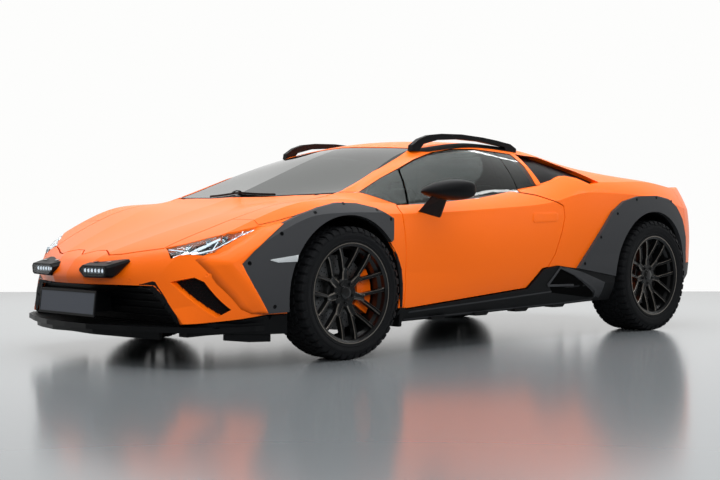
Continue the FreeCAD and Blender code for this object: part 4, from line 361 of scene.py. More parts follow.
def make_finishes(colours, lit):
    """All materials of the car, each named for what the real one is, except the painted shade and painted highlight
    ones, named for what they paint.
    """
    paint = tuple(colours.paint)
    trim = tuple(colours.trim)
    caliper = tuple(colours.caliper)
    # Base coat with fine flake under a satin clear lacquer: deep even colour with soft highlights
    finish("lacquered_base_coat", paint,
           {"Roughness": 0.40, "Specular IOR Level": 0.32, "Coat Weight": 0.14, "Coat Roughness": 0.10,
            "Coat IOR": 1.5},
           pattern=1.2, spread=0.05)
    # Injection-moulded polypropylene with a fine etched grain: flat, dark grey and slightly rough
    finish("moulded_polypropylene", trim, {"Roughness": 0.62, "IOR": 1.49},
           pattern=1.6, depth=0.12, spread=0.12, rough_spread=0.06)
    # Same plastic in solid black, for the lower nose and the underside, with a duller face
    finish("moulded_black_polypropylene", "#0A0B0D", {"Roughness": 0.48, "IOR": 1.49, "Specular IOR Level": 0.26},
           pattern=1.6, depth=0.10, spread=0.15, rough_spread=0.06)
    # Painted shade: a near-black matt sheet laid on the skirt stands in for the dark depth of the scoops, with hardly
    # any reflection
    finish("painted_shade_black", "#030303", {"Roughness": 0.85, "Specular IOR Level": 0.10},
           pattern=2, depth=0.05, rough_spread=0.05)
    # Polished ABS in black: mirror-like with a very slight ripple from the mould
    finish("polished_black_abs", "#0A0B0C",
           {"Roughness": 0.16, "IOR": 1.52, "Coat Weight": 0.6, "Coat Roughness": 0.05},
           pattern=60, depth=0.15, rough_spread=0.03)
    # Laminated safety glass with a dark tint: clear reflections over a dim cabin
    finish("tinted_safety_glass", "#39433F", {"Roughness": 0.0, "IOR": 1.5, "Transmission Weight": 1.0},
           pattern=250, depth=0.2)
    # Side windows with hardly any tint: the bright room shows through the cabin
    finish("clear_safety_glass", "#87918F", {"Roughness": 0.0, "IOR": 1.5, "Transmission Weight": 1.0},
           pattern=250, depth=0.2)
    # Clear polycarbonate lamp cover, hard-coated
    finish("clear_polycarbonate", "#CBD3D7", {"Roughness": 0.01, "IOR": 1.30, "Transmission Weight": 1.0},
           pattern=120, depth=0.1)
    # Lamp lens with moulded prisms that scatter the light: frosted white
    finish("prismatic_polycarbonate", "#DDE3E6", {"Roughness": 0.22, "IOR": 1.58, "Transmission Weight": 0.35},
           pattern=5, depth=0.7, spread=0.20)
    # Red acrylic over the rear lamps
    finish("red_acrylic", "#8E0A0C",
           {"Roughness": 0.08, "IOR": 1.49, "Transmission Weight": 0.25, "Coat Weight": 0.5},
           pattern=7, depth=0.4, spread=0.15)
    # Vacuum-metallised reflector: bright and slightly hazed
    finish("metallised_reflector", "#C9CED1", {"Metallic": 1.0, "Roughness": 0.14},
           pattern=9, depth=0.2, rough_spread=0.05)
    # Carbon-black tyre rubber: dull, faintly brown, with a fine mould texture
    finish("vulcanised_rubber", "#111214", {"Roughness": 0.74, "IOR": 1.52, "Specular IOR Level": 0.32},
           pattern=2.2, depth=0.18, spread=0.18, rough_spread=0.08)
    # Forged aluminium under satin black powder coat: soft highlights along the edges
    finish("powder_coated_aluminium", "#0E0F10",
           {"Metallic": 0.25, "Roughness": 0.30, "Coat Weight": 0.35, "Coat Roughness": 0.25},
           pattern=1.5, depth=0.05, rough_spread=0.05)
    # Painted highlight: pale metallic strips along the spoke edges and round the barrel lip stand in for light caught
    # on the chamfers of the satin black wheel
    finish("painted_highlight_aluminium", "#A39C94", {"Metallic": 0.9, "Roughness": 0.30},
           pattern=1.5, depth=0.03, rough_spread=0.06)
    # Bare aluminium sheet of the plate under grey primer
    finish("primed_aluminium_sheet", "#50555F", {"Roughness": 0.50},
           pattern=2.5, depth=0.04, spread=0.06, rough_spread=0.05)
    # Turned cast iron swept by the pads: fine rings round the axle
    finish("turned_cast_iron", "#8E8F90", {"Metallic": 1.0, "Roughness": 0.33},
           pattern=3, depth=0.08, spread=0.16, rough_spread=0.08)
    # Enamelled caliper casting: even gloss over a slightly uneven casting
    finish("stoved_enamel", caliper, {"Roughness": 0.30, "Coat Weight": 0.8, "Coat Roughness": 0.08},
           pattern=6, depth=0.15, spread=0.05)
    # Stainless steel pipe, brushed, browned a little by heat
    finish("brushed_stainless_steel", "#6E6A66", {"Metallic": 1.0, "Roughness": 0.30},
           pattern=4, stretch=(0.08, 1.0, 1.0), depth=0.05, spread=0.18, rough_spread=0.08)
    # Sand-cast aluminium: grey, matt and pebbled
    finish("sand_cast_aluminium", "#8B8D8F", {"Metallic": 1.0, "Roughness": 0.48},
           pattern=3, depth=0.3, spread=0.10, rough_spread=0.08)
    # Steel under black dip primer: dull and even
    finish("dip_primed_steel", "#1B1C1E", {"Metallic": 0.0, "Roughness": 0.55},
           pattern=8, depth=0.1, spread=0.12, rough_spread=0.06)
    # Zinc-plated bolt steel, darkened
    finish("blackened_bolt_steel", "#2A2B2D", {"Metallic": 1.0, "Roughness": 0.36},
           pattern=2, depth=0.05, rough_spread=0.08)
    # Full-grain leather with a 2 mm grain and a soft sheen
    finish("full_grain_leather", "#191919", {"Roughness": 0.52, "Sheen Weight": 0.15},
           pattern=2.4, depth=0.5, spread=0.15, rough_spread=0.08)
    # Napped microfibre suede on the seats' middles: no gloss, with a pale sheen at the edges
    finish("napped_microfibre", "#232326", {"Roughness": 0.90, "Sheen Weight": 0.6, "Sheen Roughness": 0.4},
           pattern=1.8, depth=0.3, spread=0.25)
    # Slush-moulded cabin skin with a pebble grain
    finish("slush_moulded_vinyl", "#17181A", {"Roughness": 0.60},
           pattern=3.0, depth=0.25, spread=0.12, rough_spread=0.06)
    # Silvered mirror glass
    finish("silvered_glass", "#D6DADC", {"Metallic": 1.0, "Roughness": 0.02}, pattern=300, depth=0.1)
    # Frosted acrylic rod lit from its ends: an even white glow
    finish("frosted_light_guide", "#F2F6FA", {
        "Roughness": 0.35, "IOR": 1.49, "Emission Color": linear("#F4F8FF"),
        "Emission Strength": LAMP_GLOW if lit else 0.0}, pattern=6, depth=0.2)


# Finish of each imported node, by the record's slot or by its own name
SLOT_FINISHES = {
    "orange_paint": "lacquered_base_coat", "moulded_plastic": "moulded_polypropylene",
    "gloss_black": "polished_black_abs", "tinted_glass": "tinted_safety_glass",
    "lamp_glass": "clear_polycarbonate", "red_lamp": "red_acrylic", "exhaust_steel": "brushed_stainless_steel",
    "cast_aluminium": "sand_cast_aluminium", "seat_leather": "full_grain_leather",
    "cabin_plastic": "slush_moulded_vinyl", "arm_steel": "dip_primed_steel", "tyre_rubber": "vulcanised_rubber",
    "black_alloy": "powder_coated_aluminium", "disc_steel": "turned_cast_iron", "caliper_paint": "stoved_enamel"}
NODE_FINISHES = dict.fromkeys((
    "front_chin", "diffuser", "front_grille", "scuttle", "wheel_housings", "aux_lamps", "intake_panels", "tail_panel",
    "roof_rails", "side_skirts"), "moulded_black_polypropylene")
NODE_FINISHES.update(dict.fromkeys(
    ("floor_pan", "bulkheads", "cross_ribs", "long_members", "sills"), "dip_primed_steel"))
NODE_FINISHES.update(dict.fromkeys(("door_glass_left", "door_glass_right", "fixed_glass"), "clear_safety_glass"))
NODE_FINISHES["luggage_box"] = "slush_moulded_vinyl"


def dress_frame():
    """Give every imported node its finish."""
    slots = {part["node"]: part["material_slot"] for part in frame["record"]["subparts"]}
    for name, node in frame["nodes"].items():
        chosen = finishes[NODE_FINISHES.get(name) or SLOT_FINISHES[slots[name]]]
        if not node.material_slots:
            node.data.materials.append(chosen)
        for slot in node.material_slots:
            slot.material = chosen


# Meshes
def mm(x, y, z):
    """Point from its place in millimetres."""
    return Vector((x, y, z)) * MM


def circle(count):
    """Cosine and sine at even steps round a circle."""
    return [(math.cos(2 * math.pi * step / count), math.sin(2 * math.pi * step / count)) for step in range(count)]


def heading(points, index):
    """Direction of a polyline at one of its points."""
    before = Vector(points[max(index - 1, 0)])
    after = Vector(points[min(index + 1, len(points) - 1)])
    return (after - before).normalized()


def piece(name, vertices, faces, look, smooth=True):
    """New mesh object from its look, which is a finish, a body to ride on and a slot; the slot is not used."""
    finish_name, body, slot = look
    mesh = bpy.data.meshes.new(name)
    mesh.from_pydata([tuple(vertex) for vertex in vertices], [], faces)
    mesh.validate()
    mesh.materials.append(finishes[finish_name])
    built = bmesh.new()
    built.from_mesh(mesh)
    bmesh.ops.recalc_face_normals(built, faces=built.faces)
    built.to_mesh(mesh)
    built.free()
    for face in mesh.polygons:
        face.use_smooth = smooth
    thing = bpy.data.objects.new(name, mesh)
    bpy.context.scene.collection.objects.link(thing)
    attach(thing, body)
    return thing


def modify(thing, kind, **settings):
    """Add a modifier with its settings."""
    modifier = thing.modifiers.new(kind.lower(), kind)
    for key, value in settings.items():
        setattr(modifier, key, value)


def bevel(thing, width, segments=2):
    """Round the edges of a piece by a width in millimetres."""
    modify(thing, "BEVEL", width=width * MM, segments=segments, limit_method="ANGLE")


def split_edges(thing, degrees=35):
    """Keep edges crisp where the faces turn by more than an angle."""
    modify(thing, "EDGE_SPLIT", split_angle=math.radians(degrees))


class Shape:
    """Vertices and faces gathered for one piece."""

    def __init__(self):
        self.vertices = []
        self.faces = []

    def add(self, vertices, faces):
        """Append loose geometry."""
        start = len(self.vertices)
        self.vertices += [Vector(vertex) for vertex in vertices]
        self.faces += [tuple(index + start for index in face) for face in faces]

    def loft(self, rings, closed_path=False):
        """Skin rings of equal length, with flat ends unless the path is closed."""
        count = len(rings[0])
        faces = []
        for span in range(len(rings) if closed_path else len(rings) - 1):
            near = span * count
            far = (span + 1) % len(rings) * count
            for index in range(count):
                following = (index + 1) % count
                faces.append((near + index, near + following, far + following, far + index))
        if not closed_path:
            faces.append(tuple(range(count - 1, -1, -1)))
            faces.append(tuple((len(rings) - 1) * count + index for index in range(count)))
        self.add([point for ring in rings for point in ring], faces)
        return self

    def join(self, other):
        """Append another shape."""
        self.add(other.vertices, other.faces)

    def moved(self, matrix):
        """The same shape after a move."""
        other = Shape()
        other.add([matrix @ vertex for vertex in self.vertices], self.faces)
        return other

    def make(self, name, look, flat=False):
        """Piece with smooth or flat shading."""
        return piece(name, self.vertices, self.faces, look, not flat)

    def make_bevelled(self, name, look, width, segments=2):
        """Piece with flat faces and rounded edges."""
        made = self.make(name, look, flat=True)
        bevel(made, width, segments)
        return made

    def make_split(self, name, look, degrees=35):
        """Smooth piece with crisp edges."""
        made = self.make(name, look)
        split_edges(made, degrees)
        return made


def lathe(profile, segments):
    """Shape turned about the Y axis from radius and y in millimetres."""
    rings = []
    for index in range(segments):
        angle = 2 * math.pi * index / segments
        rings.append([mm(radius * math.sin(angle), y, -radius * math.cos(angle)) for radius, y in profile])
    return Shape().loft(rings, closed_path=True)


# Fitted pieces
surfaces = {}
VIEWS = {
    # view: place of a plane point from its two coordinates, and the way in which it falls on the surface
    "side": (lambda u, v, side: Vector((u, side * 1.4, v)), lambda side: Vector((0, -side, 0))),
    "top": (lambda u, v, side: Vector((u, side * v, 1.6)), lambda side: Vector((0, 0, -1))),
    "front": (lambda u, v, side: Vector((2.6, side * u, v)), lambda side: Vector((-1, 0, 0))),
    "rear": (lambda u, v, side: Vector((-2.6, side * u, v)), lambda side: Vector((1, 0, 0))),
}


def surface_of(nodes):
    """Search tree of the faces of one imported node, or of several."""
    if nodes not in surfaces:
        gathered = Shape()
        for node in nodes if isinstance(nodes, tuple) else (nodes,):
            mesh = frame["nodes"][node].data
            gathered.add([vertex.co for vertex in mesh.vertices], [tuple(face.vertices) for face in mesh.polygons])
        surfaces[nodes] = BVHTree.FromPolygons(gathered.vertices, gathered.faces)
    return surfaces[nodes]


def fall(node, view, side, u, v):
    """Point and outward normal where a ray of a view meets a node; a side ray stops at the middle."""
    place, way = VIEWS[view]
    direction = way(side)
    point, normal, _, _ = surface_of(node).ray_cast(place(u, v, side), direction)
    if point is None or view == "side" and side * point.y < 0:
        return None
    return point, -normal if normal.dot(direction) > 0 else normal


def sure_fall(node, view, side, u, v):
    """Point and normal of a ray given in millimetres, which has to meet the node."""
    hit = fall(node, view, side, u * MM, v * MM)
    if hit is None:
        raise RuntimeError("A small piece misses %s at %.0f, %.0f" % (node, u, v))
    return hit


def flat_cells(outline, cell):
    """Outline cut into cells of about one size, as flat vertices and faces."""
    built = bmesh.new()
    built.faces.new([built.verts.new((u, v, 0)) for u, v in outline])
    bmesh.ops.triangulate(built, faces=built.faces)
    for axis in (0, 1):
        low = min(point[axis] for point in outline)
        high = max(point[axis] for point in outline)
        count = max(1, int((high - low) / cell))
        way = [1 - axis, axis, 0]
        for index in range(1, count):
            place = [part * (low + (high - low) * index / count) for part in way]
            geometry = list(built.verts) + list(built.edges) + list(built.faces)
            bmesh.ops.bisect_plane(built, geom=geometry, plane_co=place, plane_no=way)
    bmesh.ops.triangulate(built, faces=built.faces)
    built.verts.index_update()
    vertices = [(vertex.co.x, vertex.co.y) for vertex in built.verts]
    faces = [tuple(vertex.index for vertex in face.verts) for face in built.faces]
    built.free()
    return vertices, faces


def fitted_vertices(places, node, view, side, lift):
    """Flat points dropped on a node and lifted off it; a point that misses takes the nearest hit's depth."""
    hits = [fall(node, view, side, u, v) for u, v in places]
    known = [index for index, hit in enumerate(hits) if hit]
    if not known:
        raise RuntimeError("No point of a fitted piece falls on " + str(node))
    place, way = VIEWS[view]
    direction = way(side)
    result = []
    for (u, v), hit in zip(places, hits):
        if hit is None:
            near = min(known, key=lambda other: (places[other][0] - u) ** 2 + (places[other][1] - v) ** 2)
            point, normal = hits[near]
            start = place(u, v, side)
            point = start + direction * (point - start).dot(direction)
        else:
            point, normal = hit
        result.append(point + normal * lift)
    return result


def metres(outline):
    """Outline in metres from millimetres."""
    return [(u * MM, v * MM) for u, v in outline]


def scaled(outline, middle, wide, tall):
    """Outline drawn in towards a middle point."""
    return [(middle[0] + (u - middle[0]) * wide, middle[1] + (v - middle[1]) * tall) for u, v in outline]


def sheet(name, vertices, faces, direction, thickness, look):
    """Thin solid sheet whose faces all look against a direction."""
    plate = piece(name, vertices, faces, look)
    for face in plate.data.polygons:
        if face.normal.dot(direction) > 0:
            face.flip()
    plate.data.update()
    modify(plate, "SOLIDIFY", thickness=thickness * MM, offset=-1)
    return plate


def fitted_plate(name, outline, node, view, side, lift, thickness, cell, look):
    """Thin plate that follows a node's surface inside an outline in millimetres."""
    places, faces = flat_cells(metres(outline), cell * MM)
    vertices = fitted_vertices(places, node, view, side, lift * MM)
    plate = sheet(name, vertices, faces, VIEWS[view][1](side), thickness, look)
    bevel(plate, min(thickness, WIDEST_PLATE_BEVEL) * 0.5)


def stroke_outline(points, width):
    """Closed outline of a stroke along a polyline."""
    left = []
    right = []
    for index, point in enumerate(points):
        way = heading(points, index)
        across = Vector((-way.y, way.x)) * width / 2
        left.append(tuple(Vector(point) + across))
        right.append(tuple(Vector(point) - across))
    return left + right[::-1]


def inside(outline, u, v):
    """True for a point inside a closed outline."""
    result = False
    for (au, av), (bu, bv) in zip(outline, outline[1:] + outline[:1]):
        if (av > v) != (bv > v) and u < (bu - au) * (v - av) / (bv - av) + au:
            result = not result
    return result


def hex_mesh(name, outline, node, view, side, lift, cell, wire, look):
    """Honeycomb of thin wires inside an outline, laid on a node's surface."""
    points = metres(outline)
    low_u, low_v = (min(point[axis] for point in points) for axis in (0, 1))
    high_u, high_v = (max(point[axis] for point in points) for axis in (0, 1))
    radius = cell / math.sqrt(3)
    hexagon = [(radius * math.cos(math.pi / 6 + corner * math.pi / 3),
                radius * math.sin(math.pi / 6 + corner * math.pi / 3)) for corner in range(6)]
    known = {}
    places = []
    faces = []
    row = 0
    v = low_v
    while v < high_v:
        u = low_u + (cell / 2 if row % 2 else 0)
        while u < high_u:
            if inside(points, u, v):
                face = []
                for across, up in hexagon:
                    spot = (u + across, v + up)
                    # Corners nearer than an eighth of a cell are one corner
                    key = (round(spot[0] / cell * 8), round(spot[1] / cell * 8))
                    if key not in known:
                        known[key] = len(places)
                        places.append(spot)
                    face.append(known[key])
                faces.append(tuple(face))
            u += cell
        v += radius * 1.5
        row += 1
    vertices = fitted_vertices(places, node, view, side, lift * MM)
    mesh = piece(name, vertices, faces, look, smooth=False)
    modify(mesh, "WIREFRAME", thickness=wire, use_replace=True)


# Tyres
def corner_matrix(corner):
    """Move from a wheel's own centre, outer face to +Y, to its corner of the car."""
    axle, side = CORNERS[corner]
    x, y, z = WHEEL_PLACES[axle]
    return Matrix.Translation(mm(x, side * y, z)) @ Matrix.Diagonal((1, side, 1, 1))


def tyre_carcass(radius, half, depth):
    """Closed profile of the carcass under the tread."""
    base = radius - depth
    outer = [(243, half * 0.80), (248, half * 0.86), (262, half * 0.955), (267, half * 0.972),
             (270, half * 0.955), (284, half * 0.985), (radius - 46, half), (radius - 38, half * 0.992),
             (radius - 36, half * 0.975), (radius - 24, half * 0.955), (radius - 14, half * 0.90),
             (base, half * 0.80), (base + 2, half * 0.40), (base + 2.5, 0)]
    far = [(r, -y) for r, y in reversed(outer[:-1])]
    inner = [(250, -half * 0.68), (radius - 24, -half * 0.70), (radius - 24, half * 0.70), (250, half * 0.68)]
    return outer + far + inner


def tread_block(shape, corners, low, high):
    """One block from its four (degree, y) corners on the tread."""
    middle_angle = sum(angle for angle, _ in corners) / len(corners)
    middle_y = sum(y for _, y in corners) / len(corners)
    rings = []
    for radius, share in ((low, 1), (high - 1.2, BLOCK_TAPER), (high, BLOCK_TAPER - 0.08)):
        ring = []
        for angle, y in corners:
            turned = math.radians(middle_angle + (angle - middle_angle) * share)
            ring.append(mm(radius * math.sin(turned), middle_y + (y - middle_y) * share, -radius * math.cos(turned)))
        rings.append(ring)
    shape.loft(rings)


def shoulder_block(shape, start, width, radius, half, side, reach):
    """Block that wraps from the tread over the shoulder on to the sidewall."""
    face = [(radius, half * 0.52), (radius - 0.5, half * 0.80), (radius - 6, half * 0.93), (radius - reach, half)]
    root = [(radius - reach, half * 0.93), (radius - 12, half * 0.80), (radius - 12, half * 0.52)]
    rings = []
    for share, drop in ((0, BLOCK_EDGE_DROP), (0.12, 0), (0.88, 0), (1, BLOCK_EDGE_DROP)):
        angle = math.radians(start + width * share)
        section = [(r - drop, y - drop * 0.3) for r, y in face] + root
        rings.append([mm(r * math.sin(angle), side * y, -r * math.cos(angle)) for r, y in section])
    shape.loft(rings)


def tyre_shape(radius, half, sizes):
    """Tyre with chunky all-terrain blocks and raised rings on its sidewalls."""
    depth = sizes.tread_depth / MM
    shape = lathe(tyre_carcass(radius, half, depth), 120)
    floor = radius - depth - 2
    step = 360.0 / sizes.shoulder_blocks
    for index in range(sizes.shoulder_blocks):
        for side in (1, -1):
            start = index * step + (0 if side > 0 else step / 2)
            shoulder_block(shape, start, step * 0.70, radius, half, side, 30.0 if index % 2 else 22)
            low = side * half * 0.22
            high = side * half * 0.47
            lean = step * 0.22
            near = start + step * 0.35
            far = near + step * 0.72
            tread_block(shape, [(near, low), (far, low), (far + lean, high), (near + lean, high)], floor, radius)
        for part, sway in ((0, -half * 0.045), (0.5, half * 0.045)):
            near = index * step + part * step
            low = sway - half * 0.15
            high = sway + half * 0.15
            corners = [(near, low), (near + step * 0.40, low), (near + step * 0.46, high), (near + step * 0.06, high)]
            tread_block(shape, corners, floor, radius - 0.3)
    for ring_radius, height in ((288, 1.2), (radius - 50, 1.4)):
        share = 0.987 if ring_radius < 300 else 1.0
        for side in (1, -1):
            y = half * share * side
            rise = y + height * side * 0.4
            root = y - 2 * side
            shape.join(lathe([(ring_radius - 1.6, root), (ring_radius - 0.8, rise), (ring_radius + 0.8, rise),
                              (ring_radius + 1.6, root)], 96))
    return shape


def make_tyres(sizes):
    """Four tyres in place of the plain ones."""
    for corner, (axle, _) in CORNERS.items():
        node = "tyre_" + corner
        low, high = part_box(node)
        half = (high.y - low.y) / 2 / MM
        shape = tyre_shape(WHEEL_PLACES[axle][2], half, sizes).moved(corner_matrix(corner))
        tyre = shape.make("tread_" + corner, ("vulcanised_rubber", corner + "_wheel", "tyre_rubber"), flat=True)
        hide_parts(node)


# Wheels
def level(table, radius):
    """Value of a table of (radius, value) at a radius."""
    for (low, before), (high, after) in zip(table, table[1:]):
        if radius <= high:
            share = max(0, (radius - low) / (high - low))
            return before + (after - before) * share
    return table[-1][1]


def shifted(profile, shift):
    """Profile of radius and y with its y moved."""
    return [(radius, y + shift) for radius, y in profile]


def spoke_arm(shape, edges, points, widths, shift):
    """Bar with bevelled edges and a shallow channel, along points seen along the axle."""
    rings = []
    lines = ([], [])
    for index, (x, z) in enumerate(points):
        way = heading(points, index)
        across = Vector((way.y, -way.x))
        radius = math.hypot(x, z)
        front = level(SPOKE_FRONT, radius) + shift
        back = level(SPOKE_BACK, radius) + shift
        half = widths[index] / 2
        section = [(-half * 1.05, back), (-half, front - 3.5), (-half * 0.72, front), (-half * 0.45, front),
                   (-half * 0.22, front - 2.6), (half * 0.22, front - 2.6), (half * 0.45, front),
                   (half * 0.72, front), (half, front - 3.5), (half * 1.05, back)]
        rings.append([mm(x + across.x * offset, y, z + across.y * offset) for offset, y in section])
        # Thin strips along both top edges of the bar, which carry the painted highlight
        for line, edge in zip(lines, (-half, half)):
            section = ((edge * 0.70, front + 0.3), (edge, front - 3.1), (edge * 0.98, front - 4.6),
                       (edge * 0.66, front - 1.2))
            line.append([mm(x + across.x * offset, y, z + across.y * offset) for offset, y in section])
    shape.loft(rings)
    for line in lines:
        edges.loft(line)


def spokes(count, shift):
    """All forked spokes of one wheel, and the pale strips of painted highlight along their edges."""
    fork = Shape()
    edges = Shape()
    spoke_arm(fork, edges, [(0, 52), (0, 74), (0, 100), (0, 126)], [40, 38, 34, 36], shift)
    spread = math.radians(FORK_SPREAD)
    for side in (-1, 1):
        start = (side * 10, 112)
        end = (side * SPOKE_REACH * math.sin(spread), SPOKE_REACH * math.cos(spread))
        path = [(start[0] + (end[0] - start[0]) * share, start[1] + (end[1] - start[1]) * share)
                for share in (0, 0.2, 0.4, 0.6, 0.8, 1)]
        spoke_arm(fork, edges, path, [16, 16.5, 16.5, 17, 18, 21], shift)
    whole = Shape()
    lines = Shape()
    for index in range(count):
        turn = Matrix.Rotation(math.radians(360.0 * index / count), 4, "Y")
        whole.join(fork.moved(turn))
        lines.join(edges.moved(turn))
    return whole, lines


def wheel_bolt(x, z, y):
    """Hexagonal bolt head with a chamfered top, its face towards +Y."""
    return Shape().loft([[mm(x + r * a, y + rise, z + r * b) for a, b in circle(6)] for r, rise in BOLT_HEAD])


def make_wheels(sizes):
    """Four forked-spoke wheels with barrels, hubs, bolts and blank caps."""
    for corner, (axle, _) in CORNERS.items():
        matrix = corner_matrix(corner)
        body = corner + "_wheel"
        half = RIM_HALF_WIDTHS[axle]
        shift = half - RIM_HALF_WIDTHS["front"]
        shape = lathe([
            (258, half), (257, half - 3), (250, half - 6), (242, half - 9), (241, half - 30),
            (226, half - 44), (226, 44 - half), (241, 30 - half), (241, 9 - half), (257, 6 - half),
            (258, -half), (250, -half), (236, 8 - half), (220, 46 - half), (220, half - 46),
            (234, half - 32), (236, half - 10), (245, half - 5), (249, half - 1), (253, half)], 120)
        bars, lines = spokes(sizes.spokes, shift)
        shape.join(bars)
        # Ring of painted highlight round the barrel lip; with the spoke strips it makes one pale piece
        lines.join(lathe([(249.4, half + 0.3), (253.6, half + 0.3), (253.6, half - 2), (249.4, half - 2)], 120))
        lines.moved(matrix).make("spoke_painted_highlights_" + corner, ("painted_highlight_aluminium", body, "black_alloy"), flat=True)
        shape.join(lathe(shifted(HUB_PROFILE, shift), 72))
        wheel = shape.moved(matrix).make_split("wheel_" + corner, ("powder_coated_aluminium", body, "black_alloy"), 28)
        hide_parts("rim_" + corner)
        cap = lathe(shifted(CAP_PROFILE, shift), 64)
        for index in range(5):
            angle = 2 * math.pi * (index + 0.5) / 5
            cap.join(wheel_bolt(BOLT_CIRCLE * math.sin(angle), BOLT_CIRCLE * math.cos(angle), BOLT_FOOT + shift))
        cap.moved(matrix).make_bevelled("wheel_cap_" + corner, ("polished_black_abs", body, "black_alloy"), 0.8)


def make_brakes(sizes):
    """Discs in place of the plain ones with black dots of painted shade for the drilled holes, and piston covers on
    the calipers.
    """
    for corner, (axle, _) in CORNERS.items():
        matrix = corner_matrix(corner)
        wheel = corner + "_wheel"
        shift = RIM_HALF_WIDTHS[axle] - RIM_HALF_WIDTHS["front"]
        disc = lathe(shifted(DISC_PROFILE, shift), 96).moved(matrix).make_split(
            "drilled_disc_" + corner, ("turned_cast_iron", wheel, "disc_steel"), 30)
        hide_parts("disc_" + corner)
        # The drilled holes are black discs laid on the disc face: painted shade in place of real holes
        holes = Shape()
        for row, radius in enumerate(HOLE_ROWS):
            for index in range(sizes.disc_holes):
                angle = 2 * math.pi * (index + row * HOLE_STAGGER) / sizes.disc_holes
                ring = [(radius * math.sin(angle) + HOLE_RADIUS * a, radius * math.cos(angle) + HOLE_RADIUS * b)
                        for a, b in circle(8)]
                holes.loft([[mm(x, y + shift, z) for x, z in ring] for y in (DISC_FACE - 1, DISC_FACE + 0.25)])
        holes.moved(matrix).make("disc_hole_shade_" + corner, ("moulded_black_polypropylene", wheel, "disc_steel"),
                                 flat=True)
        body = "chassis" if axle == "rear" else corner.replace("front_", "") + "_upright"
        turn = 0.0 if axle == "rear" else math.pi
        pistons = Shape()
        for angle, length in ((-0.33, 34), (0, 40), (0.33, 34)):
            x = PISTON_CIRCLE * math.cos(turn + angle)
            z = PISTON_CIRCLE * math.sin(turn + angle)
            pistons.loft([[mm(x + length / 2 * share * a, y + shift, z + length / 2 * share * b)
                           for a, b in circle(16)] for y, share in ((17.5, 1), (21, 0.96), (22.5, 0.86))])
        pistons.moved(matrix).make_split("caliper_pistons_" + corner, ("stoved_enamel", body, "caliper_paint"))


# Lamps
def make_headlamps():
    """Clear covers over dark housings with reflector bowls and white light bars."""
    covers = Shape()
    bowl = lathe([(17, -7), (16.5, 7), (13.5, 7), (12, 2), (7, -1), (0.01, 0.5), (0.01, -7)], 32)
    turn = Matrix.Rotation(math.radians(-62), 4, "Z") @ Matrix.Rotation(math.radians(14), 4, "X")
    for name, side in SIDES.items():
        places, faces = flat_cells(metres(HEADLAMP_OUTLINE), HEADLAMP_CELL * MM)
        covers.add(fitted_vertices(places, "headlamps", "top", side, 0), faces)
        floor = scaled(HEADLAMP_OUTLINE, HEADLAMP_MIDDLE, HOUSING_SHARE, HOUSING_SHARE)
        fitted_plate("headlamp_housing_" + name, floor, "headlamps", "top", side, -HOUSING_DROP, 4, HEADLAMP_CELL,
                     ("polished_black_abs", "chassis", "lamp_glass"))
        for index, (width, points) in enumerate(RUNNING_LIGHTS):
            fitted_plate("running_light_%s_%d" % (name, index + 1), stroke_outline(points, width), "headlamps",
                         "top", side, -LIGHT_DROP, LIGHT_THICKNESS, 12, LAMP_LIGHT)
        bowls = Shape()
        for x, y in LAMP_BARREL_PLACES:
            point = sure_fall("headlamps", "top", side, x, y)[0] - mm(0, 0, BOWL_DEPTH)
            bowls.join(bowl.moved(Matrix.Translation(point) @ Matrix.Diagonal((1, side, 1, 1)) @ turn))
        bowls.make_split("lamp_bowls_" + name, LAMP_REFLECTOR)
    cover = sheet("headlamp_covers", covers.vertices, covers.faces, Vector((0, 0, -1)), 2.5, LAMP_CLEAR)
    split_edges(cover)
    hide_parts("headlamps")


def lamp_point(x, y, z, side, across=0):
    """Point of a nose lamp, whose face is turned slightly outwards."""
    return mm(x - (y - NOSE_LAMP_MIDDLE[0]) * NOSE_LAMP_LEAN, side * (y + LAMP_SHIFT + across), z)


def lamp_ring(outline, x, side):
    """Ring of a nose lamp from its outline seen from the front."""
    return [lamp_point(x, y, z, side) for y, z in outline]


